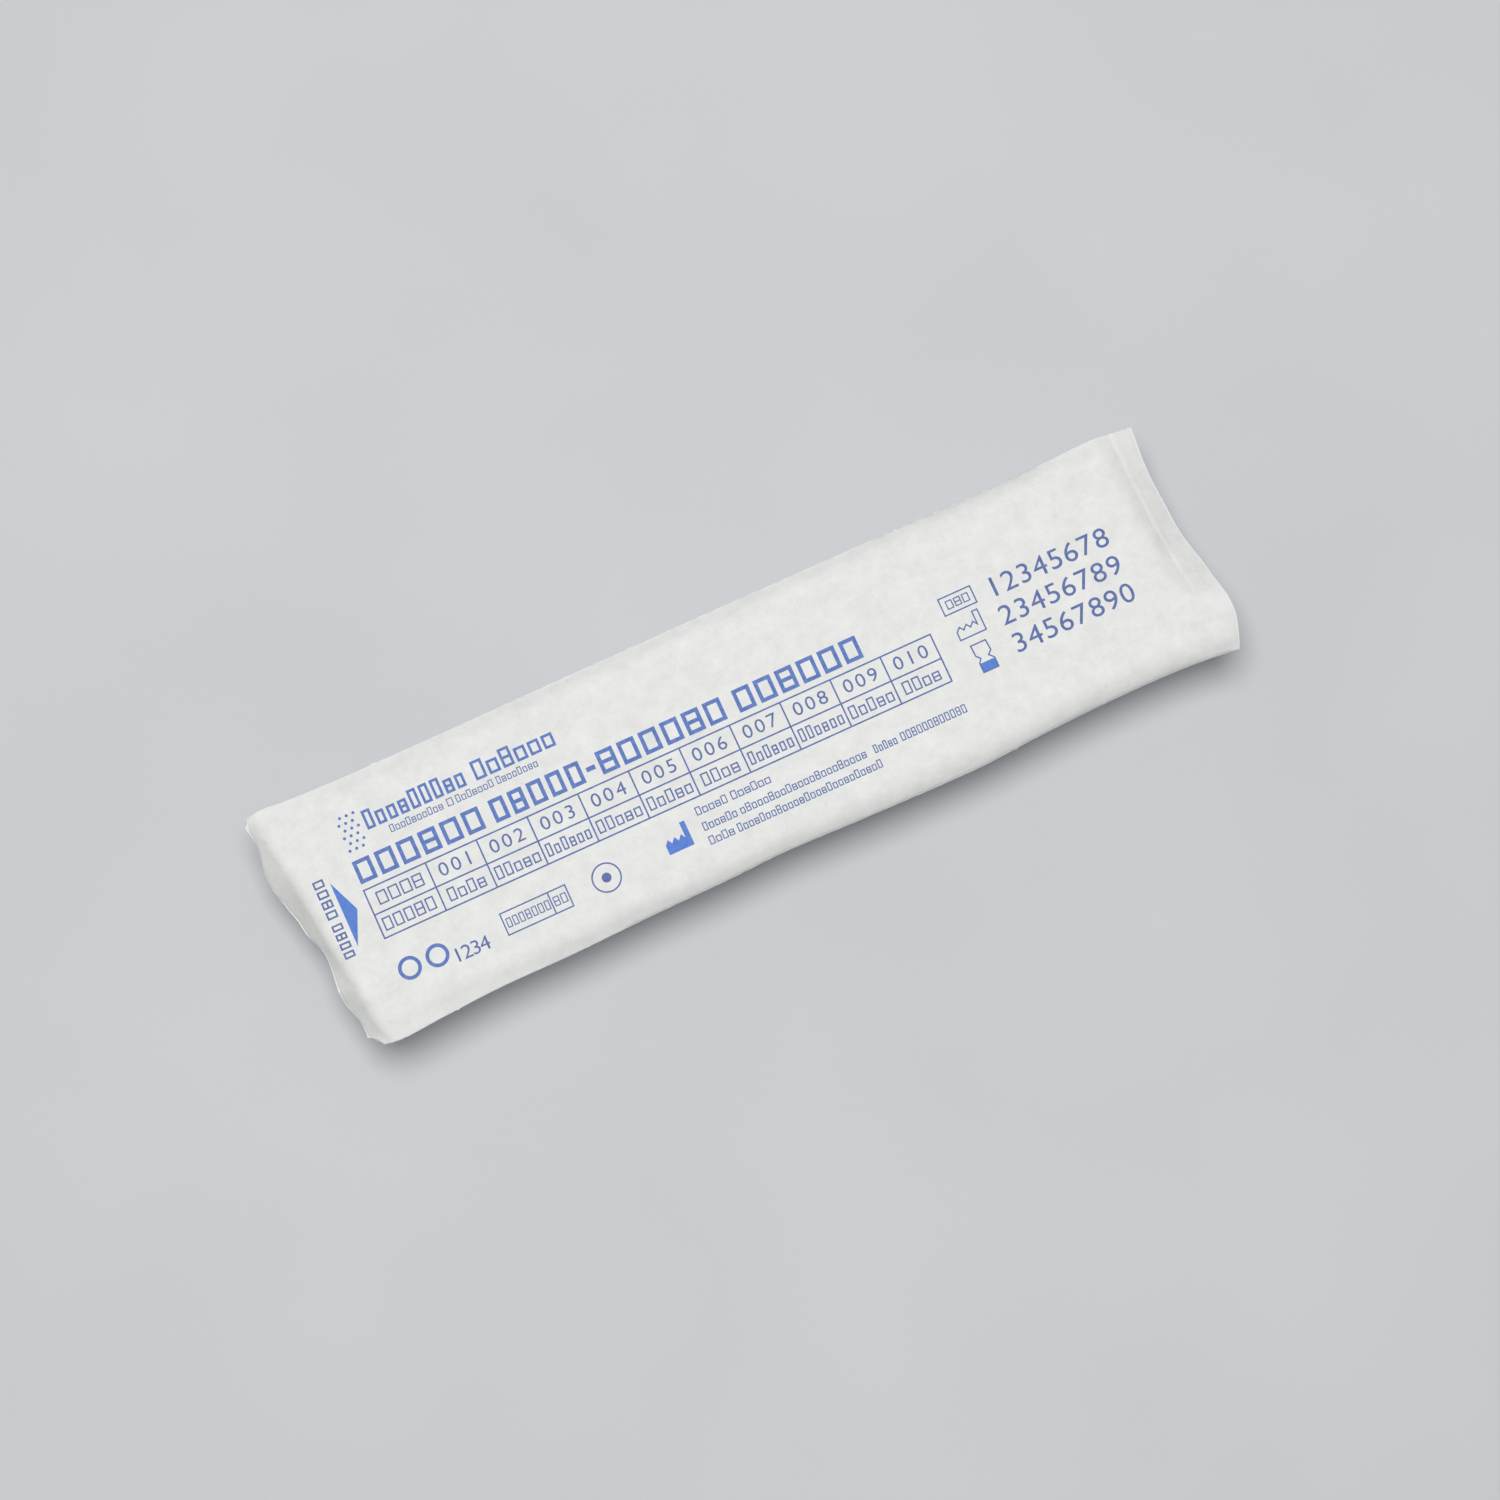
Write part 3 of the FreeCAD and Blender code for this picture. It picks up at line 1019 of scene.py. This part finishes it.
    def skin(self, inward: float) -> list[Array]:
        """Rings of points of one side of the film, from the cut edge to the floor's middle.

        Args:
            inward: 0 for the outer side, or the film's thickness for the inner side.

        Returns:
            The rings, each an array of points.
        """
        shape = self.shape
        webs = shape.paper_thickness + shape.film_thickness
        film_edge, paper_edge = self.outline(1.0), self.outline(0.0)
        mouth_rise = self.mouth_flare - webs
        mouth = self.rounded_ring(
            shape.pocket_half_length + mouth_rise - inward,
            shape.pocket_half_width + mouth_rise - inward,
            self.corner_radius,
        )
        rings = []
        for share in np.linspace(0.0, 1.0, self.flange_steps + 1) ** self.flange_crowding:
            plan = paper_edge + (mouth - paper_edge) * share
            x, y = plan[:, 0], plan[:, 1]
            z = shape.below_face(x, y, webs - inward + shape.web_gap(x, y))
            rings.append(np.stack([x, y, z], axis=-1))
        rings.insert(0, np.column_stack([film_edge, rings[0][:, 2]]))
        for inset, z in self.wall_profile():
            radius = self.corner_radius - (inset - self.wall_inset(z))
            ring = self.rounded_ring(
                shape.pocket_half_length - inset - inward,
                shape.pocket_half_width - inset - inward,
                radius,
            )
            rings.append(np.column_stack([ring, np.full(len(ring), max(z, 0.0) + inward)]))
        floor = rings[-1]
        reach = shape.pocket_half_length - shape.pocket_half_width
        spine = floor * [1.0, 0.0, 1.0]
        spine[:, 0] = np.clip(spine[:, 0], -reach, reach)
        for step in range(1, self.floor_steps):
            rings.append(floor + (spine - floor) * step / self.floor_steps)
        return rings

    def build(self) -> Piece:
        """Build the film web as a closed shell.

        Returns:
            The new object.
        """
        outer = self.skin(0.0)
        inner = self.skin(self.shape.film_thickness)
        count = len(outer[0])
        under = count * len(outer)
        last = under - count
        faces: list[list[int]] = []
        for ring in range(0, last, count):
            for point, after in round_pairs(range(ring, ring + count)):
                faces.append([point, point + count, after + count, after])
        faces.append(list(range(last, under)))
        faces += [[under + point for point in reversed(face)] for face in faces]
        faces += [[a, b, under + b, under + a] for a, b in round_pairs(range(count))]
        points, material = np.concatenate(outer + inner), self.finish.material()
        film = make_piece("film_web", points, faces, material, self.crease_degrees)
        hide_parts(NODE)
        return film


@dataclass
class PrintLayer:
    """Flat ink shapes of one printed feature, laid on the lid as one thin closed mesh."""

    name: str
    shape: PackShape
    material: Material
    reading: Reading = Reading.ALONG
    anchor: Point = (0.0, 0.0)
    proud: float = 0.014
    sunk: float = 0.03
    longest: float = 1.3
    digit_stretch: float = 1.09
    mitre_limit: float = 0.35
    crease_degrees: float = 30.0
    points: list[Point] = field(default_factory=list)
    faces: list[list[int]] = field(default_factory=list)

    def add(self, points: Sequence[Point] | Array, faces: Sequence[Sequence[int]]) -> None:
        """Add one flat shape.

        Args:
            points: its points in plan.
            faces: its faces, as rows of point numbers.
        """
        first = len(self.points)
        self.points += [(float(x), float(y)) for x, y in points]
        self.faces += [[first + point for point in face] for face in faces]

    def breaks(self, lines: Sequence[float], line: float) -> list[tuple[float, bool]]:
        """Places where a lattice is divided, and whether a line follows each.

        Args:
            lines: middles of the lines, in order.
            line: their width.

        Returns:
            Places in order, each with True if the next stretch is a line.
        """
        places: list[tuple[float, bool]] = []
        for index, middle in enumerate(lines):
            places.append((middle - line / 2, True))
            if index + 1 == len(lines):
                places.append((middle + line / 2, False))
                continue
            start = middle + line / 2
            run = lines[index + 1] - line / 2 - start
            steps = max(1, math.ceil(run / self.longest))
            places += [(start + run * step / steps, False) for step in range(steps)]
        return places

    def lattice(self, xs: Sequence[float], ys: Sequence[float], line: float) -> None:
        """Add a lattice of crossing lines, such as a box or a ruled table.

        Args:
            xs: middles of the upright lines, in order.
            ys: middles of the level lines, in order.
            line: width of every line.
        """
        columns = self.breaks(xs, line)
        rows = self.breaks(ys, line)
        points = [(x, y) for x, _ in columns for y, _ in rows]
        faces = []
        for i, (_, upright) in enumerate(columns[:-1]):
            for j, (_, level) in enumerate(rows[:-1]):
                if upright or level:
                    corner = i * len(rows) + j
                    after = corner + len(rows)
                    faces.append([corner, after, after + 1, corner + 1])
        self.add(points, faces)

    def bar(self, left: float, bottom: float, right: float, top: float) -> None:
        """Add a filled rectangle.

        Args:
            left: its left side.
            bottom: its lower side.
            right: its right side.
            top: its upper side.
        """
        columns = max(1, math.ceil((right - left) / self.longest))
        rows = max(1, math.ceil((top - bottom) / self.longest))
        xs = np.linspace(left, right, columns + 1)
        ys = np.linspace(bottom, top, rows + 1)
        self.add([(x, y) for x in xs for y in ys], grid_faces(columns + 1, rows + 1))

    def strip(self, near: Sequence[Point] | Array, far: Sequence[Point] | Array) -> None:
        """Add a closed strip between two rows of points that are in step.

        Args:
            near: points of one side, in order round the strip.
            far: points of the other side.
        """
        count = len(near)
        faces = [[a, count + a, count + b, b] for a, b in round_pairs(range(count))]
        self.add([*near, *far], faces)

    def ring(self, centre: Point, radius: float, line: float, steps: int = 44) -> None:
        """Add a round line.

        Args:
            centre: middle of the ring.
            radius: radius to the middle of the line.
            line: width of the line.
            steps: number of straight pieces round it.
        """
        inner = arc(centre, radius - line / 2, 0.0, FULL_TURN, steps)
        self.strip(inner, arc(centre, radius + line / 2, 0.0, FULL_TURN, steps))

    def disc(self, centre: Point, radius: float, steps: int = 20) -> None:
        """Add a filled disc.

        Args:
            centre: its middle.
            radius: its radius.
            steps: number of sides.
        """
        faces = [[here, after, steps] for here, after in round_pairs(range(steps))]
        self.add([*arc(centre, radius, 0.0, FULL_TURN, steps), centre], faces)

    def area(self, outline: Sequence[Point]) -> None:
        """Add a filled outline.

        Args:
            outline: its corners, in order round it.
        """
        corners = [mathutils.Vector((x, y, 0.0)) for x, y in outline]
        self.add(outline, mathutils.geometry.tessellate_polygon([corners]))

    def stroke(self, path: Sequence[Point], line: float) -> None:
        """Add a closed line of even width along a path.

        Args:
            path: corners of the line's middle, in order round it.
            line: width of the line.
        """
        corners = [mathutils.Vector(point) for point in path]
        reaches = []
        for before, corner, after in zip(corners[-1:] + corners, corners, corners[1:] + corners):
            into = (corner - before).normalized()
            middle = (into + (after - corner).normalized()).normalized()
            side = middle.orthogonal()
            reaches.append(side * line / 2 / max(self.mitre_limit, middle.dot(into)))
        self.strip(
            [corner + reach for corner, reach in zip(corners, reaches)],
            [corner - reach for corner, reach in zip(corners, reaches)],
        )

    def digits(self, text: str, left: float, bottom: float, pitch: float, height: float) -> None:
        """Add a row of plain digits, each in the middle of its own place.

        Args:
            text: the digits.
            left: left side of the first place.
            bottom: foot of the digits.
            pitch: width of one place.
            height: height of the digits.
        """
        for index, digit in enumerate(text):
            points, faces = digit_shape(digit)
            least, most = points.min(axis=0), points.max(axis=0)
            scale = height / (most[1] - least[1]) * np.array([self.digit_stretch, 1.0])
            foot = np.array([(least[0] + most[0]) / 2, least[1]])
            self.add((points - foot) * scale + [left + pitch * (index + 0.5), bottom], faces)

    def placed(self) -> Array:
        """Plan places of all the points, turned the way that the print reads.

        Returns:
            An array of places on the lid.
        """
        local = np.array(self.points)
        if self.reading is Reading.UPWARD:
            local = np.column_stack([-local[:, 1], local[:, 0]])
        return local + np.array(self.anchor)

    def build(self) -> Piece:
        """Lay the shapes on the lid and close them to a thin mesh.

        Returns:
            The new object.
        """
        used = sorted({point for face in self.faces for point in face})
        place = {point: index for index, point in enumerate(used)}
        plan = self.placed()[used]
        ground = self.shape.height(plan[:, 0], plan[:, 1])
        count = len(plan)
        points = np.concatenate([
            np.column_stack([plan, ground + self.proud]),
            np.column_stack([plan, ground - self.sunk]),
        ])
        upper = [self.turned_up([place[point] for point in face], plan) for face in self.faces]
        faces = upper + [[count + point for point in reversed(face)] for face in upper]
        sides = {side for face in upper for side in round_pairs(face)}
        for a, b in sorted(sides):
            if (b, a) not in sides:
                faces.append([b, a, count + a, count + b])
        return make_piece(
            self.name, points, faces, self.material, self.crease_degrees
        )

    @staticmethod
    def turned_up(face: list[int], plan: Array) -> list[int]:
        """A face with its points in the order that makes it look up.

        Args:
            face: point numbers of the face.
            plan: plan places of all points.

        Returns:
            The point numbers, reversed if need be.
        """
        corners = plan[face]
        after = np.roll(corners, -1, axis=0)
        area = np.sum(corners[:, 0] * after[:, 1] - after[:, 0] * corners[:, 1])
        return face if area > 0 else face[::-1]


@cache
def digit_shape(
    digit: str, curve_steps: int = 5, decimals: int = 5
) -> tuple[Array, list[list[int]]]:
    """Flat outline mesh of one plain digit, made once and kept.

    Args:
        digit: the digit.
        curve_steps: straight pieces in each bend of its outline.
        decimals: points that are the same to so many decimals are joined.

    Returns:
        Its plan points and its faces.
    """
    curve = bpy.data.curves.new(f"digit_{digit}", "FONT")
    curve.body = digit
    curve.resolution_u = curve_steps
    holder = bpy.data.objects.new(f"digit_{digit}", curve)
    mesh = bpy.data.meshes.new_from_object(holder)
    places: dict[Point, int] = {}
    numbers = []
    for vertex in mesh.vertices:
        place = (round(vertex.co.x, decimals), round(vertex.co.y, decimals))
        numbers.append(places.setdefault(place, len(places)))
    faces = []
    for polygon in mesh.polygons:
        face = [numbers[point] for point in polygon.vertices]
        if len(set(face)) == len(face):
            faces.append(face)
    bpy.data.meshes.remove(mesh)
    bpy.data.objects.remove(holder)
    bpy.data.curves.remove(curve)
    return np.array(list(places)), faces


@dataclass(frozen=True)
class Lettering:
    """Size and weight of a line of stand-in words, whose letters are plain boxes.

    One box in every barred_every has a bar across it, if it is over bar_room lines high.
    """

    tall: float
    low: float
    line: float
    gap: float
    barred_every: int = 3
    bar_room: float = 3.0


@dataclass(frozen=True)
class Word:
    """One stand-in word: where it starts and ends, and which of its boxes are tall."""

    start: float
    end: float
    boxes: int
    tall_boxes: tuple[int, ...] = (0,)


def write_words(layer: PrintLayer, words: Sequence[Word], foot: float, letters: Lettering) -> None:
    """Add a line of stand-in words made of plain hollow boxes.

    Args:
        layer: the print layer that takes them.
        words: the words of the line.
        foot: height of the line's foot on the lid.
        letters: size and weight of the boxes.
    """
    count = 0
    for word in words:
        pitch = (word.end - word.start + letters.gap) / word.boxes
        for index in range(word.boxes):
            left = word.start + pitch * index + letters.line / 2
            right = left + pitch - letters.gap - letters.line
            height = letters.tall if index in word.tall_boxes else letters.low
            low, high = foot + letters.line / 2, foot + height - letters.line / 2
            count += 1
            roomy = high - low > letters.bar_room * letters.line
            barred = roomy and count % letters.barred_every == 0
            ys = [low, (low + high) / 2, high] if barred else [low, high]
            layer.lattice([left, right], ys, letters.line)


@dataclass(frozen=True)
class LidPrint:
    """All the blue print on the paper lid."""

    shape: PackShape
    area_ink: InkFinish
    bold_ink: InkFinish
    line_ink: InkFinish
    table_left: float = -50.35
    first_cell: float = -42.05
    table_right: float = 26.65
    table_cells: int = 10
    upper_row: float = -0.76
    lower_row: float = -4.02
    fine_line: float = 0.18

    def build(self) -> list[Piece]:
        """Build every printed feature.

        Returns:
            The new objects, in the order in which they are printed.
        """
        area = self.area_ink.material()
        bold = self.bold_ink.material()
        thin = self.line_ink.material()
        makers: list[tuple[str, Material, Callable[[PrintLayer], None]]] = [
            ("print_dot_lattice", bold, self.dot_lattice),
            ("print_heading", bold, self.heading),
            ("print_tagline", thin, self.tagline),
            ("print_title", bold, self.title),
            ("print_table_rules", thin, self.table_rules),
            ("print_table_numbers", thin, self.table_numbers),
            ("print_table_words", thin, self.table_words),
            ("print_peel_words", thin, self.peel_words),
            ("print_peel_arrow", area, self.peel_arrow),
            ("print_ring_pair", bold, self.ring_pair),
            ("print_four_digits", thin, self.four_digits),
            ("print_divided_box", thin, self.divided_box),
            ("print_round_sign", thin, self.round_sign),
            ("print_works_sign", area, self.works_sign),
            ("print_contact_lines", thin, self.contact_lines),
            ("print_batch_box", thin, self.batch_box),
            ("print_open_works_sign", thin, self.open_works_sign),
            ("print_hourglass", thin, self.hourglass),
            ("print_hourglass_sand", area, self.hourglass_sand),
            ("print_number_rows", thin, self.number_rows),
        ]
        pieces = []
        for name, ink, maker in makers:
            layer = PrintLayer(name, self.shape, ink)
            maker(layer)
            pieces.append(layer.build())
        return pieces

    def dot_lattice(self, layer: PrintLayer) -> None:
        """Add a plain lattice of dots at the head of the print.

        Args:
            layer: the print layer that takes it.
        """
        left, foot, across, up, shift = -49.9, 6.9, 0.9, 0.85, 0.45
        for row in range(6):
            for column in range(3):
                centre = (left + shift * (row % 2) + across * column, foot + up * row)
                layer.disc(centre, radius=0.2, steps=12)

    def heading(self, layer: PrintLayer) -> None:
        """Add the bold heading.

        Args:
            layer: the print layer that takes it.
        """
        letters = Lettering(tall=2.5, low=1.8, line=0.34, gap=0.38, barred_every=4)
        words = [Word(-46.8, -33.4, 9, (0, 4, 5, 6)), Word(-32.1, -21.3, 6, (0, 2))]
        write_words(layer, words, foot=8.4, letters=letters)

    def tagline(self, layer: PrintLayer) -> None:
        """Add the thin line under the heading.

        Args:
            layer: the print layer that takes it.
        """
        letters = Lettering(tall=1.0, low=0.72, line=0.12, gap=0.17, barred_every=5)
        words = [
            Word(-44.3, -37.2, 10, (0, 3, 7)), Word(-36.6, -35.8, 1),
            Word(-35.4, -30.4, 7, (0, 2, 6)), Word(-29.9, -24.4, 8, (0, 4)),
        ]
        write_words(layer, words, foot=6.9, letters=letters)

    def title(self, layer: PrintLayer) -> None:
        """Add the large bold title, with the short dash in its second word.

        Args:
            layer: the print layer that takes it.
        """
        letters = Lettering(tall=3.0, low=3.0, line=0.5, gap=0.62, barred_every=4)
        words = [
            Word(-50.3, -33.4, 6), Word(-32.0, -19.8, 5), Word(-17.5, -0.6, 6),
            Word(1.1, 18.0, 6),
        ]
        write_words(layer, words, foot=2.55, letters=letters)
        layer.bar(left=-19.25, bottom=3.65, right=-18.05, top=4.25)

    def table_columns(self) -> list[float]:
        """Middles of the table's upright lines: one before the numbered cells, then theirs."""
        cells = np.linspace(self.first_cell, self.table_right, self.table_cells + 1)
        return [self.table_left, *cells.tolist()]

    def table_rules(self, layer: PrintLayer) -> None:
        """Add the lines of the two-row table."""
        layer.lattice(self.table_columns(), ys=[-4.75, -1.6, 1.72], line=0.2)

    def table_numbers(self, layer: PrintLayer) -> None:
        """Add plain numbers from 1 to 10 in the table's upper row.

        Args:
            layer: the print layer that takes it.
        """
        pitch, height = 1.68, 1.72
        columns = self.table_columns()
        for number in range(1, self.table_cells + 1):
            text = f"{number:03d}"
            left = (columns[number] + columns[number + 1] - pitch * len(text)) / 2
            layer.digits(text, left, self.upper_row, pitch, height)

    def table_words(self, layer: PrintLayer) -> None:
        """Add the stand-in words of the table.

        Args:
            layer: the print layer that takes it.
        """
        letters = Lettering(tall=1.7, low=1.22, line=0.19, gap=0.3, barred_every=4)
        write_words(layer, [Word(-49.2, -43.1, 4, (0, 1, 2, 3))], self.upper_row, letters)
        write_words(layer, [Word(-49.8, -42.9, 5, (0, 1, 2, 3, 4))], self.lower_row, letters)
        half_room, half_box = 2.95, 0.62
        columns = self.table_columns()
        boxes = (4, 5, 6, 5, 5, 4, 6, 6, 5, 4)
        for cell, count in enumerate(boxes, start=1):
            middle = (columns[cell] + columns[cell + 1]) / 2
            half = min(half_room, half_box * count)
            word = Word(middle - half, middle + half, count, (0, 2) if cell % 2 else (0, 1))
            write_words(layer, [word], self.lower_row, letters)

    def peel_words(self, layer: PrintLayer) -> None:
        """Add the two upright stand-in words at the peel end.

        Args:
            layer: the print layer that takes it.
        """
        layer.reading = Reading.UPWARD
        layer.anchor = (-54.4, 0.0)
        layer.longest = 0.2
        letters = Lettering(tall=1.4, low=1.4, line=0.23, gap=0.36, barred_every=3)
        write_words(layer, [Word(-5.2, -0.7, 4), Word(0.1, 5.2, 4)], foot=0.0, letters=letters)

    def peel_arrow(self, layer: PrintLayer) -> None:
        """Add the long triangle that points along the pack.

        Args:
            layer: the print layer that takes it.
        """
        back, tip, half, steps = -53.75, -51.95, 4.3, 7
        rows = [-half + 2 * half * step / steps for step in range(steps + 1)]
        slanted = sorted([0.0, *rows[1:-1]])
        outline = [(back, y) for y in reversed(rows)]
        layer.area(outline + [(tip - (tip - back) * abs(y) / half, y) for y in slanted])

    def ring_pair(self, layer: PrintLayer) -> None:
        """Add two plain thick rings."""
        for middle in (-49.0, -45.3):
            layer.ring((middle, -9.35), radius=1.25, line=0.46)

    def four_digits(self, layer: PrintLayer) -> None:
        """Add four small plain digits."""
        layer.digits("1234", left=-43.6, bottom=-11.25, pitch=1.2, height=1.75)

    def divided_box(self, layer: PrintLayer) -> None:
        """Add the long box with its divider and its small stand-in words.

        Args:
            layer: the print layer that takes it.
        """
        layer.lattice(xs=[-36.3, -29.9, -27.55], ys=[-10.75, -7.9], line=self.fine_line)
        letters = Lettering(tall=1.25, low=1.25, line=0.14, gap=0.2, barred_every=4)
        words = [Word(-35.95, -30.15, 7), Word(-29.6, -27.85, 2)]
        write_words(layer, words, foot=-9.95, letters=letters)

    def round_sign(self, layer: PrintLayer) -> None:
        """Add a ring with a disc in it.

        Args:
            layer: the print layer that takes it.
        """
        centre = (-22.45, -9.25)
        layer.ring(centre, radius=1.8, line=0.2)
        layer.disc(centre, radius=0.62, steps=24)

    @staticmethod
    def works_outline(left: float, foot: float, width: float, scale: float) -> list[Point]:
        """Outline of a works building with a chimney.

        Args:
            left: its left side.
            foot: its foot.
            width: its width.
            scale: its height as a share of its width.

        Returns:
            Its corners in order.
        """
        wall_share, ridge_share, roof_share, rise_share, roofs = 0.38, 0.57, 0.265, 0.15, 3
        height, roof, rise = width * scale, width * roof_share, width * rise_share
        wall, ridge, top = foot + height * wall_share, foot + height * ridge_share, foot + height
        chimney = left + roofs * roof
        outline = [(left, foot)]
        for index in range(roofs):
            outline += [(left + roof * index, wall), (left + roof * index + rise, ridge)]
        outline += [(chimney, wall), (chimney, top), (left + width, top), (left + width, foot)]
        return outline

    def works_sign(self, layer: PrintLayer) -> None:
        """Add the filled works building."""
        layer.area(self.works_outline(left=-14.2, foot=-10.0, width=3.35, scale=0.97))

    def open_works_sign(self, layer: PrintLayer) -> None:
        """Add the works building in outline."""
        outline = self.works_outline(left=29.8, foot=-0.6, width=3.5, scale=0.8)
        layer.stroke(outline, self.fine_line)

    def contact_lines(self, layer: PrintLayer) -> None:
        """Add the three small lines of stand-in words.

        Args:
            layer: the print layer that takes it.
        """
        letters = Lettering(tall=1.1, low=0.8, line=0.14, gap=0.17, barred_every=4)
        first = [Word(-9.1, -4.9, 5, (0, 4)), Word(-4.3, 1.0, 6, (0, 3))]
        second = [
            Word(-9.05, -4.5, 6, (0, 4)), Word(-4.0, 13.1, 22, (1, 5, 8, 13, 17)),
            Word(14.2, 17.3, 5, (0, 2)), Word(17.9, 26.8, 12, tuple(range(12))),
        ]
        third = [Word(-9.05, -5.7, 4, (0, 2)), Word(-5.2, 14.4, 26, (0, 4, 7, 12, 16, 21, 25))]
        for words, foot in ((first, -6.95), (second, -9.05), (third, -10.95)):
            write_words(layer, words, foot, letters)

    def batch_box(self, layer: PrintLayer) -> None:
        """Add the small box beside the first row of digits.

        Args:
            layer: the print layer that takes it.
        """
        layer.lattice(xs=[29.35, 33.7], ys=[3.0, 5.25], line=self.fine_line)
        letters = Lettering(tall=1.15, low=1.15, line=0.15, gap=0.2, barred_every=2)
        write_words(layer, [Word(30.0, 33.1, 3)], foot=3.55, letters=letters)

    def hourglass(self, layer: PrintLayer) -> None:
        """Add the outline of the hourglass, down one side and up the other.

        Args:
            layer: the print layer that takes it.
        """
        outline = [
            (30.6, -1.75), (32.62, -1.75), (32.72, -3.15), (32.2, -3.62), (32.76, -4.2),
            (32.76, -5.45), (30.72, -5.45), (30.72, -4.2), (31.12, -3.65), (30.66, -3.18),
        ]
        layer.stroke(outline, self.fine_line)

    def hourglass_sand(self, layer: PrintLayer) -> None:
        """Fill the lower part of the hourglass, inside its outline."""
        layer.bar(left=30.81, bottom=-5.36, right=32.67, top=-4.25)

    def number_rows(self, layer: PrintLayer) -> None:
        """Add three rows of plain digits."""
        for text, foot in (("12345678", 2.65), ("23456789", -1.18), ("34567890", -5.02)):
            layer.digits(text, left=35.35, bottom=foot, pitch=2.11, height=2.5)


@dataclass(frozen=True)
class Studio:
    """Pale table, soft light and the camera that stands where the photo was taken."""

    floor: FloorFinish
    floor_size: float = 3000.0
    floor_gap: float = 0.02
    lamp_place: tuple[float, float, float] = (-20.0, 80.0, 920.0)
    lamp_size: float = 520.0
    lamp_power: float = 6.85
    fill_strength: float = 0.25
    backdrop_strength: float = 0.86
    lens: float = 86.4
    sensor: float = 36.0
    nearest: float = 5.0
    camera_distance: float = 446.0
    tilt: float = 8.0
    turn: float = 24.6
    aim: Point = (0.23, -2.17)

    def build(self, face_height: float) -> None:
        """Set up floor, lights and camera.

        Args:
            face_height: height of the paper face, at which the camera aims.
        """
        self.build_floor()
        self.build_lamp()
        self.build_world()
        self.build_camera(face_height)
        bpy.context.scene.view_settings.view_transform = "Standard"

    def build_floor(self) -> None:
        """Lay the pale table under the pack."""
        half, top = self.floor_size / 2 * METRES_PER_MM, -self.floor_gap * METRES_PER_MM
        corners = [(-half, -half, top), (half, -half, top), (half, half, top), (-half, half, top)]
        mesh = bpy.data.meshes.new("table_top")
        mesh.from_pydata(corners, [], [[0, 1, 2, 3]])
        mesh.materials.append(self.floor.material(self.backdrop_strength))
        table = bpy.data.objects.new("table_top", mesh)
        bpy.context.scene.collection.objects.link(table)

    def build_lamp(self) -> None:
        """Hang one large soft lamp over the pack, a little to the upper left of the view."""
        light = bpy.data.lights.new("soft_lamp", "AREA")
        light.shape = "DISK"
        light.size = self.lamp_size * METRES_PER_MM
        light.energy = self.lamp_power
        lamp = bpy.data.objects.new("soft_lamp", light)
        place = mathutils.Vector(self.lamp_place) * METRES_PER_MM
        lamp.location = place
        lamp.rotation_euler = (-place).to_track_quat("-Z", "Y").to_euler()
        bpy.context.scene.collection.objects.link(lamp)

    def build_world(self) -> None:
        """Fill the room with even light, and show it pale past the table's edge."""
        world = bpy.data.worlds.new("pale_room")
        world.use_nodes = True
        tree = world.node_tree
        fill = tree.nodes["Background"]
        seen = add_node(tree, "ShaderNodeBackground", {})
        for backdrop, strength in ((fill, self.fill_strength), (seen, self.backdrop_strength)):
            backdrop.inputs["Color"].default_value = WHITE
            backdrop.inputs["Strength"].default_value = strength
        mix = add_node(tree, "ShaderNodeMixShader", {
            0: seen_directly(tree), 1: fill.outputs[0], 2: seen.outputs[0],
        })
        tree.links.new(mix.outputs[0], tree.nodes["World Output"].inputs["Surface"])
        bpy.context.scene.world = world

    def build_camera(self, face_height: float) -> None:
        """Place the camera at the photo's viewing angle.

        Args:
            face_height: height at which it aims.
        """
        turn, tilt = math.radians(self.turn), math.radians(self.tilt)
        right = mathutils.Vector((math.cos(turn), -math.sin(turn), 0.0))
        away = mathutils.Vector((math.sin(turn), math.cos(turn), 0.0))
        back = math.cos(tilt) * mathutils.Vector((0.0, 0.0, 1.0)) - math.sin(tilt) * away
        up = back.cross(right)
        aim = mathutils.Vector((*self.aim, face_height))
        place = (aim + back * self.camera_distance) * METRES_PER_MM
        axes = mathutils.Matrix((right, up, back)).transposed().to_4x4()
        data = bpy.data.cameras.new("photo_camera")
        data.lens = self.lens
        data.sensor_width = self.sensor
        data.clip_start = self.nearest * METRES_PER_MM
        camera = bpy.data.objects.new("photo_camera", data)
        camera.matrix_world = mathutils.Matrix.Translation(place) @ axes
        bpy.context.scene.collection.objects.link(camera)
        bpy.context.scene.camera = camera


def main() -> None:
    """Build the pack's pieces in order."""
    logging.basicConfig(level=logging.INFO, format="%(message)s")
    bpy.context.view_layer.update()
    shape = PackShape(face_height=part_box(NODE)[1].z / METRES_PER_MM)
    area_ink = InkFinish("area_blue_ink", full=(75, 117, 200), thin=(98, 136, 211))
    bold_ink = InkFinish("bold_blue_ink", full=(80, 108, 176), thin=(107, 134, 198))
    line_ink = InkFinish("line_blue_ink", full=(80, 98, 154), thin=(106, 124, 178))
    pieces = [
        PaperLid(shape, PaperFinish()).build(),
        FilmWeb(shape, FilmFinish()).build(),
        *LidPrint(shape, area_ink, bold_ink, line_ink).build(),
    ]
    for piece in pieces:
        log.info("%s: %d faces", piece.name, len(piece.data.polygons))
    Studio(FloorFinish()).build(shape.face_height)


if __name__ == "__main__":
    main()
